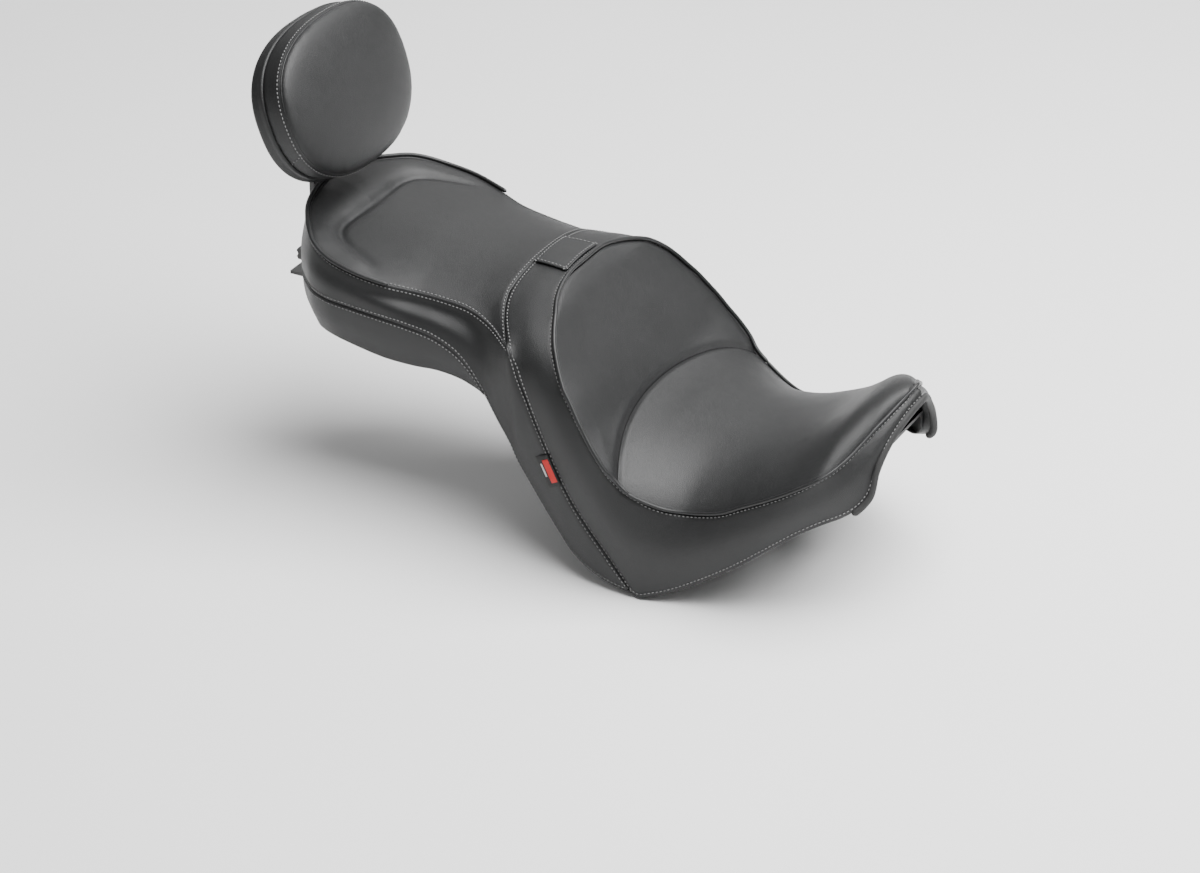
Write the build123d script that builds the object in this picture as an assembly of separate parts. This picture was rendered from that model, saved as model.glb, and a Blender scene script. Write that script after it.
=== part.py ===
from build123d import *
import os
from math import atan2, cos, degrees, hypot, pi, radians, sin

# Two-up motorcycle seat with a passenger backrest.
# Frame: +X towards the front wheel, +Y to the rider's left, +Z up. The origin is the centre of the
# fixing hole in the tail tab, half way through the plate. Millimetres.

# --- overall sizes ---
seat_length = 760.0          # tail of the passenger part to tip of the nose
passenger_width = 286.0      # across the passenger part's top seam
rider_width = 362.0          # across the rider part at the foot of the bolster
pad_width = 256.0            # backrest pad, across
pad_height = 186.0           # backrest pad, along its own face

# --- walls and clearances ---
cover_thick = 3.0            # vinyl with its backing
cover_gap = 1.6              # between cover and foam
seam_gap = 0.8               # between neighbouring cover panels
pan_wall = 4.0
pan_inset = 8.0              # pan wall inside the cover's bottom edge
pan_rise = 4.0               # pan edge above the cover's bottom edge
foam_clear = 0.5             # foam to pan
body_clear = 0.4             # between pieces that move against each other
piping_r = 2.6               # half the welt's thickness

# --- hardware ---
tab_thick = 4.0
tab_width = 44.0
tab_hole_r = 4.25            # clears an M8 bolt
tab_end = 13.0               # hole centre to the rear end of the tab
tab_step_x = 62.0            # where the tab cranks up to the pan
tab_front_x = 178.0
bolt_r = 3.0                 # M6 fixings
bolt_clear = 0.2
hex_flats = 10.0
head_tall = 4.0
nut_tall = 5.0
tab_bolt_xs = (100.0, 150.0)
post_width = 25.0
post_thick = 6.0
post_x = 15.0                # centre of the backrest post
post_low_z = 5.0
receiver_wall = 3.0
receiver_low_z = 2.0
receiver_high_z = 60.0
knob_z = 34.0
knob_r = 11.0
knob_thick = 10.0
knob_stand = 8.0             # screw left bare between wall and knob
socket_x = 352.0             # rider backrest socket, under the flap
socket_width = 36.0
socket_depth = 14.0
socket_wall = 2.0
socket_plate_thick = 3.0
pad_lean = 20.0              # degrees, back from upright
pad_foam_thick = 26.0
pad_bulge = 16.0             # face's crown ahead of its seam
board_thick = 6.0
pad_x = 62.0                 # centre of the pad's face seam
pad_z = 243.0
pivot_z = 190.0
pivot_r = 4.0
pivot_fit = 0.05
barrel_r = 8.0
ear_thick = 3.0
shell_wall = 2.5
shell_depth = 46.0
flap_length = 41.0
flap_width = 74.0
flap_thick = 2.4
tongue_width = 60.0
tongue_thick = 4.0
tongue_bolt_xs = (590.0, 620.0)
tongue_rear_x = 572.0
tongue_tip_x = 722.0
bumper_r = 11.0
bumper_height = 10.0

# --- the seat's drawn shape, before stretching ---
drawn_length = 760.0
drawn_passenger_width = 286.0
drawn_rider_width = 362.0
band_rear = 320.0            # band seam at the centre line
band_front = 370.0           # foot of the flap, where the rider's piping crosses
groove_x = 462.0             # tuck between the rider's back and seat panels, at the centre
pan_start = 42.0
pan_end = 758.0
foam_end = 764.0
skirt_end = 313.0            # where the passenger's lower skirt runs out
side_seam_end = 529.0        # where the band's side seam meets the bottom edge

# x, crown z, edge half width, edge z, side half width, side z, bottom half width, bottom z
passenger_sections = [
    (28, 120, 30, 116, 40, 70, 28, 20),
    (42, 130, 66, 124, 76, 52, 62, 4),
    (56, 130, 92, 119, 102, 52, 84, -2),
    (72, 124, 112, 114, 121, 52, 100, -4),
    (88, 107, 127, 108, 136, 52, 118, -2),
    (112, 102, 139, 99, 147, 51, 132, -2),
    (145, 99, 143, 93, 150, 49, 137, -6),
    (185, 97, 136, 84, 148, 44, 139, -10),
    (220, 95, 127, 78, 146, 40, 139, -11),
    (255, 94, 123, 74, 146, 32, 138, -10),
    (285, 95, 122, 70, 146, 15, 138, -14),
    (313, 98, 129, 63, 148, -8, 140, -24),
    (338, 99, 143, 56, 154, 10, 147, -54),
    (370, 98, 161, 47, 164, -20, 156, -96),
]
rider_sections = [
    (370, 98, 40, 96, 161, 47, 156, -96),
    (380, 84, 87, 86, 163, 42, 158, -109),
    (396, 62, 123, 69, 165, 33, 161, -128),
    (411, 42, 146, 46, 167, 20, 164, -145),
    (425, 24, 158, 27, 170, 6, 168, -160),
    (440, 3, 167, 7, 174, -12, 172, -175),
    (462, -32, 176, -22, 181, -40, 178, -187),
    (479, -42, 180, -43, 185, -60, 181, -193),
    (517, -50, 175, -82, 184, -104, 185, -202),
    (545, -53, 166, -94, 180, -125, 183, -200),
    (573, -54, 156, -98, 172, -130, 176, -190),
    (608, -52, 152, -92, 164, -122, 168, -172),
    (643, -43, 150, -77, 158, -104, 162, -147),
    (676, -28, 146, -60, 151, -86, 152, -122),
    (706, -5, 138, -43, 141, -66, 140, -100),
    (730, 17, 122, -28, 125, -50, 124, -87),
    (746, 28, 92, -12, 103, -38, 106, -80),
    (758, 36, 62, 6, 80, -18, 92, -62),
    (770, 40, 34, 22, 54, 0, 78, -36),
    (780, 39, 12, 34, 34, 14, 50, -4),
]
# x and z of the band's side seam, from the passenger's top seam down to the bottom edge
side_seam = [(358, 51), (384, -5), (410, -53), (448, -113), (489, -158), (529, -203)]
# x and z of the pan's floor
pan_floor = [(28, 15), (300, 15), (330, -28), (380, -28), (490, -114),
             (636, -114), (676, -98), (722, -70), (764, -28)]

length_stretch = seat_length / drawn_length
passenger_stretch = passenger_width / drawn_passenger_width
rider_stretch = rider_width / drawn_rider_width
tail_x = passenger_sections[0][0]


def sx(x):
    """Length along the seat, stretched away from the tail."""
    return tail_x + (x - tail_x) * length_stretch


def width_factor(x):
    share = min(1.0, max(0.0, (x - band_rear) / (band_front - band_rear)))
    return passenger_stretch + (rider_stretch - passenger_stretch) * share


def between(rows, x):
    """The row at x, read between its neighbours."""
    if x <= rows[0][0]:
        return rows[0]
    for low, high in zip(rows[:-1], rows[1:]):
        if x <= high[0]:
            share = (x - low[0]) / (high[0] - low[0])
            return tuple(a + (b - a) * share for a, b in zip(low, high))
    return rows[-1]


def rows_over(rows, start, end):
    inside = [row for row in rows if start < row[0] < end]
    return [between(rows, start)] + inside + [between(rows, end)]


def crown_curve(row, half_w, fractions=(0.0, 0.25, 0.5, 0.7, 0.86, 1.0)):
    """Half of the padded top, from the centre out to its edge."""
    crown_z, edge_z = row[1], row[3]
    return [(half_w * f, edge_z + (crown_z - edge_z) * (1 - f ** 2.5)) for f in fractions]


def top_half(row):
    return crown_curve(row, row[2] * width_factor(row[0]))


def upper_side(row):
    """From the top's edge out and down to the side's fullest point."""
    k = width_factor(row[0])
    w0, z0, w1, z1 = row[2] * k, row[3], row[4] * k, row[5]
    return [(w0 + (w1 - w0) * s, z0 + (z1 - z0) * s ** 2) for s in (0.0, 0.45, 0.8, 1.0)]


def lower_side(row):
    k = width_factor(row[0])
    w1, z1, w2, z2 = row[4] * k, row[5], row[6] * k, row[7]
    return [(w1 + (w2 - w1) * s ** 2, z1 + (z2 - z1) * s) for s in (0.0, 0.5, 1.0)]


def whole_side(row):
    return upper_side(row) + lower_side(row)[1:]


def mirrored(half):
    return [(-y, z) for y, z in reversed(half[1:])] + half


def resampled(points, count):
    """The same run with a fixed number of evenly spread points."""
    lengths = [0.0]
    for a, b in zip(points[:-1], points[1:]):
        lengths.append(lengths[-1] + hypot(b[0] - a[0], b[1] - a[1]))
    spread = []
    for i in range(count):
        want = lengths[-1] * i / (count - 1)
        for j in range(len(points) - 1):
            if want <= lengths[j + 1] + 1e-9:
                share = (want - lengths[j]) / (lengths[j + 1] - lengths[j])
                a, b = points[j], points[j + 1]
                spread.append((a[0] + (b[0] - a[0]) * share, a[1] + (b[1] - a[1]) * share))
                break
    return spread


def trimmed(points, start, end, count=4):
    """The run with a length cut off each end, respaced."""
    total = sum(hypot(b[0] - a[0], b[1] - a[1]) for a, b in zip(points[:-1], points[1:]))
    fine = resampled(points, 41)
    step = total / 40
    kept = fine[round(start / step + 0.5):41 - round(end / step + 0.5)]
    return resampled(kept, count)


def inset(points, depth):
    """The same run of points, moved inwards by depth square to the run."""
    moved = []
    for i, (y, z) in enumerate(points):
        before = points[max(i - 1, 0)]
        after = points[min(i + 1, len(points) - 1)]
        dy, dz = after[0] - before[0], after[1] - before[1]
        size = hypot(dy, dz)
        moved.append((y + dz / size * depth, z - dy / size * depth))
    return moved


def run(x, points):
    spots = [Vector(x, y, z) for y, z in points]
    return Spline(*spots) if len(spots) > 2 else Line(*spots)


def closed_face(parts):
    """A flat face inside lines and curves that meet end to end."""
    return Face(Wire([edge for part in parts for edge in part.edges()]))


def section(x, points):
    """A flat closed face across the seat at x."""
    return Face(Wire.make_polygon([Vector(x, y, z) for y, z in points], close=True))


def shell_section(row, outer, thick):
    """A closed thin section: the run of points and the same run moved in by the thickness."""
    x = sx(row[0])
    inner = inset(outer, thick)
    edges = [
        run(x, outer),
        Line(Vector(x, *outer[-1]), Vector(x, *inner[-1])),
        run(x, inner[::-1]),
        Line(Vector(x, *inner[0]), Vector(x, *outer[0])),
    ]
    return closed_face(edges)


def shell(rows, pick, thick=cover_thick):
    return loft([shell_section(row, pick(row), thick) for row in rows], ruled=True)


def both_sides(right):
    return [right, mirror(right, Plane.XZ)]


def floor_z(x):
    return between(pan_floor, x)[1]


def side_width_at(row, z):
    """Half width of the cover's side at a height."""
    points = whole_side(row)
    for a, b in zip(points[:-1], points[1:]):
        if a[1] >= z >= b[1]:
            return a[0] + (b[0] - a[0]) * (a[1] - z) / (a[1] - b[1])
    return points[0][0] if z > points[0][1] else points[-1][0]


def pan_half_width(row):
    """The pan's walls stand straight, inside the narrowest part of the cover they pass."""
    bottom_w = row[6] * width_factor(row[0])
    return min(bottom_w, side_width_at(row, floor_z(row[0]))) - pan_inset


def bottom_z(row):
    return row[7]


def surface_z(x, y=0.0):
    """Height of the seat's top at a place on its crown."""
    rows = passenger_sections if x <= band_front else rider_sections
    row = between(rows, x)
    half_w = row[2] * width_factor(x)
    share = min(1.0, abs(y) / half_w)
    return row[3] + (row[1] - row[3]) * (1 - share ** 2.5)


# --- covers ---

def passenger_top_panel():
    return shell(rows_over(passenger_sections, tail_x, band_rear - seam_gap), lambda r: mirrored(top_half(r)))


def passenger_boxing():
    """The side strip below the top seam, down to the lower seam, both sides and the tail."""
    right = shell(
        rows_over(passenger_sections, tail_x, band_rear - seam_gap),
        lambda r: trimmed(upper_side(r), cover_thick + seam_gap, seam_gap))
    return Compound(children=both_sides(right))


def passenger_lower_skirt():
    right = shell(
        rows_over(passenger_sections, tail_x, skirt_end), lambda r: trimmed(lower_side(r), seam_gap, 0.0))
    return Compound(children=both_sides(right))


def seam_z(x):
    return between(side_seam, x)[1]


def clipped_side(row, keep_above):
    """The side run, cut at the band's side seam."""
    points = whole_side(row)
    cut = min(points[0][1] - 4.0, max(points[-1][1] + 4.0, seam_z(row[0])))
    kept = [points[0]] if keep_above else []
    for a, b in zip(points[:-1], points[1:]):
        if a[1] > cut >= b[1]:
            share = (a[1] - cut) / (a[1] - b[1])
            kept.append((a[0] + (b[0] - a[0]) * share, cut))
            if keep_above:
                break
        if (not keep_above) and b[1] < cut - 0.5:
            kept.append(b)
        if keep_above and b[1] > cut + 0.5:
            kept.append(b)
    return resampled(kept, 4)


def center_band():
    """The strap of cover over the middle, with the rider backrest socket's slot in it."""
    rows = rows_over(passenger_sections, band_rear + seam_gap, band_front - piping_r)
    band = shell(rows, lambda r: mirrored(top_half(r)))
    return band - socket_slot(socket_wall + 1.0)


def rider_skirt(side):
    """Outside of the bolster and under the welt, forward to the nose."""
    rear = rows_over(rider_sections, band_front + piping_r, side_seam_end)
    front = rows_over(rider_sections, side_seam_end, rider_sections[-1][0])
    start = cover_thick + seam_gap
    upper = shell(rear, lambda r: trimmed(clipped_side(r, True), start, seam_gap))
    lower = shell(front, lambda r: trimmed(whole_side(r), start, 0.0))
    panel = upper + lower
    return panel if side > 0 else mirror(panel, Plane.XZ)


def rear_side_gusset(side):
    """The passenger boxing's tail, below the band's side seam."""
    rows = rows_over(rider_sections, band_front + piping_r, side_seam_end - 24.0)
    panel = shell(rows, lambda r: trimmed(clipped_side(r, False), seam_gap, 0.0))
    return panel if side > 0 else mirror(panel, Plane.XZ)


def groove_prism():
    """Everything behind the tuck between the rider's back and seat panels."""
    half_w = rider_width / 2
    curve = Spline(
        Vector(sx(groove_x + 44), -half_w, 0), Vector(sx(groove_x + 26), -half_w * 0.78, 0),
        Vector(sx(groove_x + 7), -half_w * 0.42, 0), Vector(sx(groove_x), 0, 0),
        Vector(sx(groove_x + 7), half_w * 0.42, 0), Vector(sx(groove_x + 26), half_w * 0.78, 0),
        Vector(sx(groove_x + 44), half_w, 0),
    )
    rear_x = sx(band_front) - 40
    back = Polyline(
        Vector(sx(groove_x + 44), half_w, 0), Vector(rear_x, half_w, 0),
        Vector(rear_x, -half_w, 0), Vector(sx(groove_x + 44), -half_w, 0),
    )
    outline = closed_face([curve, back])
    return Pos(0, 0, -200) * extrude(outline, 400, dir=(0, 0, 1))


def rider_top():
    rows = rows_over(rider_sections, band_front + piping_r, rider_sections[-1][0])
    return shell(rows, lambda r: mirrored(top_half(r)))


# --- foam and pan ---

def padded_rows(rows, start, end):
    """The rows of a stretch, with one more wherever the pan's floor changes slope."""
    breaks = [between(rows, x) for x, z in pan_floor if start < x < end]
    return sorted(set(rows_over(rows, start, end) + breaks))


def bolt_room(x, y, z):
    """Moulded pocket in the foam over a bolt's head."""
    return upright(x, y, z, head_tall + 2.0, hex_flats / 2 + 3.0)


def foam_section(row):
    """A closed section of foam: inside the cover, over the pan."""
    x = sx(row[0])
    depth = cover_thick + cover_gap
    right = inset(resampled(whole_side(row), 5), depth)
    right = [(max(y, 1.0), z) for y, z in right]
    top = inset(mirrored(top_half(row)), depth)[1:-1]
    half_w = pan_half_width(row) + foam_clear
    level = floor_z(row[0]) + foam_clear
    low = bottom_z(row) + pan_rise
    under = [(half_w + 2.0, low), (half_w, low), (half_w, level)]
    under_left = [(-y, z) for y, z in reversed(under)]
    left = [(-y, z) for y, z in reversed(right[:-1])]
    return section(x, top + right[:-1] + under + under_left + left)


def passenger_foam():
    rows = padded_rows(passenger_sections, pan_start, band_front - seam_gap)
    foam = loft([foam_section(row) for row in rows], ruled=True)
    for x in tab_bolt_xs:
        foam -= bolt_room(x, 0, floor_z(x))
    return foam - socket_slot(foam_clear) - socket_base_room()


def rider_foam():
    rows = padded_rows(rider_sections, band_front, foam_end)
    foam = loft([foam_section(row) for row in rows], ruled=True)
    for x in tongue_bolt_xs:
        foam -= bolt_room(sx(x), 0, floor_z(x))
    return foam


def pan_section(row):
    """An upside-down U, moulded in one with its floor."""
    x = sx(row[0])
    half_w = pan_half_width(row)
    level = floor_z(row[0])
    low = bottom_z(row) + pan_rise
    inner = half_w - pan_wall
    outline = [
        (half_w, low), (half_w, level), (-half_w, level), (-half_w, low),
        (-inner, low), (-inner, level - pan_wall), (inner, level - pan_wall), (inner, low),
    ]
    return section(x, outline)


def base_pan():
    rows = padded_rows(passenger_sections, pan_start, band_front)[:-1]
    rows += padded_rows(rider_sections, band_front, pan_end)
    pan = loft([pan_section(row) for row in rows], ruled=True)
    for x in tongue_bolt_xs:
        pan -= upright(sx(x), 0, floor_z(x) - pan_wall, pan_wall, bolt_r + bolt_clear)
    for x in tab_bolt_xs:
        pan -= upright(x, 0, floor_z(x) - pan_wall, pan_wall, bolt_r + bolt_clear)
    for y in (-1, 1):
        low = socket_floor() - pan_wall
        pan -= upright(socket_plate_x(), y * socket_bolt_y(), low, pan_wall, bolt_r + bolt_clear)
    return pan


# --- rider backrest socket ---

def socket_floor():
    return between(pan_floor, socket_x)[1]


def socket_plate_x():
    return sx(socket_x)


def socket_bolt_y():
    return socket_width / 2 + 14.0


def socket_slot(margin):
    """The room the socket takes, from the pan up through the cover."""
    size_x = socket_depth + 2 * margin
    size_y = socket_width + 2 * margin
    tall = 400.0
    return Pos(socket_plate_x(), 0, socket_floor() + tall / 2) * Box(size_x, size_y, tall)


def socket_plate_size():
    return (socket_depth + 12.0, socket_width + 52.0, socket_plate_thick)


def socket_base_room():
    size = socket_plate_size()
    tall = size[2] + 6.0
    return Pos(socket_plate_x(), 0, socket_floor() + tall / 2) * Box(size[0] + 2, size[1] + 2, tall)


def backrest_socket():
    top = surface_z(socket_x) - 1.0
    plate = socket_plate_size()
    tall = top - socket_floor()
    block = Pos(socket_plate_x(), 0, socket_floor() + plate[2] / 2) * Box(*plate)
    block += Pos(socket_plate_x(), 0, socket_floor() + tall / 2) * Box(socket_depth, socket_width, tall)
    block -= Pos(socket_plate_x(), 0, socket_floor() + 4 + tall / 2) * Box(
        socket_depth - 2 * socket_wall, socket_width - 2 * socket_wall, tall)
    for y in (-1, 1):
        block -= upright(socket_plate_x(), y * socket_bolt_y(), socket_floor(), plate[2], bolt_r + bolt_clear)
    return block


# --- shared hardware ---

def upright(x, y, z, tall, r):
    return Pos(x, y, z + tall / 2) * Cylinder(r, tall)


def hexagon(z, tall):
    return Pos(0, 0, z) * extrude(RegularPolygon(hex_flats / 2, 6, major_radius=False), tall)


def hex_bolt(x, y, z_head, grip):
    """A bolt standing across a stack of plates, its head on top of them."""
    length = grip + nut_tall + 2.0
    shank = Pos(0, 0, -length / 2) * Cylinder(bolt_r, length)
    return Pos(x, y, z_head) * (shank + hexagon(0, head_tall))


def hex_nut(x, y, z_top):
    """The nut under the stack, on the bolt's threads."""
    bore = Pos(0, 0, -nut_tall / 2) * Cylinder(bolt_r + 0.05, nut_tall)
    return Pos(x, y, z_top) * (hexagon(-nut_tall, nut_tall) - bore)


def socket_bolts():
    z = socket_floor() + socket_plate_size()[2]
    grip = socket_plate_size()[2] + pan_wall
    return Compound(children=[
        hex_bolt(socket_plate_x(), y * socket_bolt_y(), z, grip) for y in (-1, 1)])


def socket_nuts():
    z = socket_floor() - pan_wall
    return Compound(children=[hex_nut(socket_plate_x(), y * socket_bolt_y(), z) for y in (-1, 1)])


# --- welts ---

def cord_along(points, r):
    """A round cord through points, its sections square to the path."""
    spots = [Vector(*p) for p in points]
    sections = []
    for i, spot in enumerate(spots):
        before = spots[max(i - 1, 0)]
        after = spots[min(i + 1, len(spots) - 1)]
        way = (after - before).normalized()
        side = way.cross(Vector(0, 0, 1))
        side = side.normalized() if side.length > 0.2 else Vector(0, 1, 0)
        sections.append(Face(Wire(Circle(r).edges()).moved(Location(Plane(spot, x_dir=side, z_dir=way)))))
    return loft(sections, ruled=True)


def smooth_cord(points, r):
    """A round cord swept along one smooth curve through points."""
    path = Spline(*[Vector(*p) for p in points])
    start = Plane(origin=path @ 0, z_dir=path % 0)
    return sweep(start * Circle(r), path=path)


def edge_spots(rows, side, out=0.75, up=0.75):
    """Where a cord lies on the top's edge, clear of both panels."""
    reach = piping_r + 2.2
    return [(sx(r[0]), side * (r[2] * width_factor(r[0]) + reach * out), r[3] + reach * up) for r in rows]


def rim_piping():
    """U-shaped welt round the tail of the passenger part."""
    rows = rows_over(passenger_sections, 42.0, 202.0)
    right = edge_spots(rows, -1)
    left = edge_spots(rows, 1)
    first = passenger_sections[0]
    tail = [(sx(first[0]) - piping_r - 1, side * 26.0, first[3] + piping_r) for side in (-1, 1)]
    return cord_along(right[::-1] + tail + left, piping_r)


def rider_piping():
    """The arch of welt up and over the bolster."""
    rows = [r for r in rider_sections if band_front <= r[0] <= 479]
    right = edge_spots(rows, -1, 0.45, 0.95)
    left = edge_spots(rows, 1, 0.45, 0.95)
    return smooth_cord(right[::-1] + left, piping_r)


def rider_welt():
    """The lower welt, from the foot of the bolster round the nose to the other side."""
    rows = [r for r in rider_sections if r[0] >= 517]
    right = edge_spots(rows, -1, 0.85, 0.6)
    left = edge_spots(rows, 1, 0.85, 0.6)
    return cord_along(right + left[::-1], piping_r)


# --- flap and tag ---

def flap_rear_x():
    return sx(band_rear) + 3.0


def flap_z():
    return surface_z(band_rear + 20.0) + 1.6


def backrest_flap():
    body = Pos(flap_rear_x() + flap_length / 2, 0, flap_z() + flap_thick / 2) * Box(
        flap_length, flap_width, flap_thick)
    return fillet(body.edges().filter_by(Axis.Z), 3.0)


def side_tag():
    """A blank woven tag sewn into the band's right side seam."""
    tag_x, tag_z = 416.0, -79.0
    row = between(rider_sections, tag_x)
    half_w = max(row[4], row[6]) * width_factor(tag_x)
    return Pos(sx(tag_x), -half_w - 3.4, tag_z) * Rot(0, 60.6, 0) * Box(37.0, 1.2, 15.0)


# --- tail tab, receiver and post ---

def tab_high_z():
    """Middle of the tab's front part, against the pan's underside."""
    return floor_z(tab_step_x) - pan_wall - tab_thick / 2


def tail_tab():
    """Cranked steel plate under the tail: fixing hole behind, bolted to the pan in front."""
    half = tab_thick / 2
    high = tab_high_z()
    rise = tab_step_x - 12.0
    outline = Polyline(
        (-tab_end, -half), (rise + half, -half), (tab_step_x + half, high - half), (tab_front_x, high - half),
        (tab_front_x, high + half), (tab_step_x, high + half), (rise, half), (-tab_end, half), close=True)
    plate = extrude(Plane.XZ * make_face(outline), tab_width / 2, both=True)
    plate -= upright(0, 0, -tab_thick, 2 * tab_thick, tab_hole_r)
    for x in tab_bolt_xs:
        plate -= upright(x, 0, high - tab_thick, 2 * tab_thick, bolt_r + bolt_clear)
    return plate


def tab_bolts():
    return Compound(children=[hex_bolt(x, 0, floor_z(x), pan_wall + tab_thick) for x in tab_bolt_xs])


def tab_nuts():
    return Compound(children=[hex_nut(x, 0, floor_z(x) - pan_wall - tab_thick) for x in tab_bolt_xs])


def receiver_half_width():
    return post_width / 2 + body_clear + receiver_wall


def post_receiver():
    """Square steel tube welded on the tab, round the foot of the post."""
    tall = receiver_high_z - receiver_low_z
    deep = post_thick + 2 * (receiver_wall + body_clear)
    outer = Box(deep, 2 * receiver_half_width(), tall)
    inner = Box(post_thick + 2 * body_clear, post_width + 2 * body_clear, tall)
    body = Pos(post_x, 0, receiver_low_z + tall / 2) * (outer - inner)
    return body - across(-receiver_half_width(), 2 * receiver_wall, bolt_r + pivot_fit)


def across(y, length, r):
    """A cylinder along Y, centred on y, at the clamp screw's height."""
    return Pos(post_x, y, knob_z) * Rot(90, 0, 0) * Cylinder(r, length)


def backrest_post():
    """Flat steel bar with a barrel across its top for the pivot bolt."""
    tall = pivot_z - post_low_z
    bar = Pos(post_x, 0, post_low_z + tall / 2) * Box(post_thick, post_width, tall)
    bar += pivot_rod(post_width, barrel_r)
    return bar - pivot_rod(post_width + 4.0, pivot_r + pivot_fit)


def clamp_screw():
    """Thumbscrew that clamps the post: screw, collar and lobed knob."""
    tip = -post_width / 2 - body_clear
    face = -receiver_half_width() - knob_stand
    screw = across((tip + face) / 2, tip - face, bolt_r)
    knob = across(face - knob_thick / 2, knob_thick, knob_r)
    for i in range(6):
        turn = radians(60 * i)
        lobe_reach = knob_r * 1.12
        lobe = Pos(post_x + lobe_reach * cos(turn), face - knob_thick / 2, knob_z + lobe_reach * sin(turn))
        knob -= lobe * Rot(90, 0, 0) * Cylinder(3.6, knob_thick + 1)
    return screw + knob


# --- backrest pad, in its own plane ---

def pad_plane():
    lean = radians(pad_lean)
    return Plane((pad_x, 0, pad_z), x_dir=(0, 1, 0), z_dir=(cos(lean), 0, sin(lean)))


def pad_outline(depth, trim=0.0, share=1.0, shift=0.0, roundness=2.4, count=28):
    """The pad's rounded outline at a depth: in front of the face seam is positive."""
    half_w = (pad_width / 2 - trim) * share
    half_h = (pad_height / 2 - trim) * share
    spots = []
    for i in range(count):
        turn = 2 * pi * i / count
        c, s = cos(turn), sin(turn)
        y = half_w * abs(c) ** (2 / roundness) * (1 if c >= 0 else -1)
        z = half_h * abs(s) ** (2 / roundness) * (1 if s >= 0 else -1)
        spots.append((y * (1 + 0.04 * s), z + shift, depth))
    return Face(Wire(Spline(*spots, periodic=True).edges()))


def pad_piece(sections):
    return pad_plane().location * loft(sections, ruled=True)


def pad_crown(trim, back):
    """Crowned face, from its seam forward."""
    height = pad_bulge - trim
    steps = [(0.0, 1.0), (0.35, 0.95), (0.65, 0.84), (0.88, 0.62), (1.0, 0.3)]
    return pad_piece([pad_outline(back, trim)] + [
        pad_outline(height * rise, trim, share) for rise, share in steps])


def pad_face_panel():
    return pad_crown(0.0, -1.0) - pad_crown(cover_thick, -2.0)


def pad_foam():
    trim = cover_thick + cover_gap
    return pad_crown(trim, -pad_foam_thick)


def pad_boxing_panel():
    depth = pad_foam_thick + board_thick
    outer = pad_piece([pad_outline(-depth), pad_outline(-1.0 - seam_gap)])
    inner = pad_piece([pad_outline(-depth, cover_thick), pad_outline(-1.0 - seam_gap, cover_thick)])
    return outer - inner


def pad_board():
    trim = cover_thick + cover_gap
    board = pad_piece([pad_outline(-pad_foam_thick - board_thick, trim), pad_outline(-pad_foam_thick, trim)])
    for y, z in bracket_holes():
        place = pad_plane().location * Pos(y, z, -pad_foam_thick)
        board -= place * Cylinder(bolt_r + bolt_clear, 4 * board_thick)
    return board


def pad_rear_shell():
    """Moulded cover behind the board, open below for the post."""
    back = -pad_foam_thick - board_thick
    outer = pad_piece([
        pad_outline(back - shell_depth, 0, 0.42, -8), pad_outline(back - shell_depth * 0.8, 0, 0.58, -6),
        pad_outline(back - shell_depth * 0.3, 0, 0.84, -2), pad_outline(back, 0, 0.94)])
    w = shell_wall
    inner = pad_piece([
        pad_outline(back - shell_depth + w, w, 0.42, -8), pad_outline(back - shell_depth * 0.8 + w, w, 0.58, -6),
        pad_outline(back - shell_depth * 0.3 + w, w, 0.84, -2), pad_outline(back + 1, w, 0.94)])
    slot_w = post_width + 2 * (ear_thick + 3.0)
    slot = pad_plane().location * Pos(0, -pad_height / 2 - 4, back - shell_depth / 2 - 3) * Box(
        slot_w, pad_height, shell_depth + 20)
    return outer - inner - slot


def bracket_holes():
    return [(y * 26.0, z) for y in (-1, 1) for z in (-52.0, -12.0)]


def pivot_rod(length, r):
    return Pos(post_x, 0, pivot_z) * Rot(90, 0, 0) * Cylinder(r, length)


def tilt_bracket():
    """Plate on the board with two ears that straddle the post."""
    back = -pad_foam_thick - board_thick
    plane = pad_plane().location
    gap = post_width / 2 + body_clear
    plate = plane * Pos(0, -32, back - ear_thick / 2) * Box(72, 60, ear_thick)
    bracket = plate
    reach = 39.0
    for side in (-1, 1):
        ear = plane * Pos(side * (gap + ear_thick / 2), -33, back - reach / 2) * Box(ear_thick, 26, reach)
        bracket += ear
    for y, z in bracket_holes():
        bracket -= plane * Pos(y, z, back) * Cylinder(bolt_r + bolt_clear, 3 * ear_thick)
    return bracket - pivot_rod(2 * (gap + ear_thick) + 2, pivot_r)


def pivot_bolt():
    """Clevis bolt through both ears and the post, headed at one end."""
    half = post_width / 2 + body_clear + ear_thick
    rod = Pos(post_x, 0, pivot_z) * Rot(90, 0, 0) * Cylinder(pivot_r, 2 * half + 6.0)
    head = Pos(post_x, half + 5.0, pivot_z) * Rot(90, 0, 0) * Cylinder(7.0, 4.0)
    return rod + head


def pivot_nut():
    half = post_width / 2 + body_clear + ear_thick
    nut = extrude(RegularPolygon(7.0, 6, major_radius=False), 2.8)
    nut = Pos(post_x, -half - 0.1, pivot_z) * Rot(90, 0, 0) * nut
    return nut - pivot_rod(2 * half + 20, pivot_r + pivot_fit)


def bracket_screws():
    """Screws through the bracket and board into the tee nuts."""
    back = -pad_foam_thick - board_thick - ear_thick
    grip = ear_thick + board_thick
    screws = []
    for y, z in bracket_holes():
        shank = Pos(y, z, back + grip / 2) * Cylinder(bolt_r - 0.2, grip)
        head = Pos(y, z, back - 1.5) * Cylinder(5.5, 3.0)
        screws.append(pad_plane().location * (shank + head))
    return Compound(children=screws)


# --- nose and pan fittings ---

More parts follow.
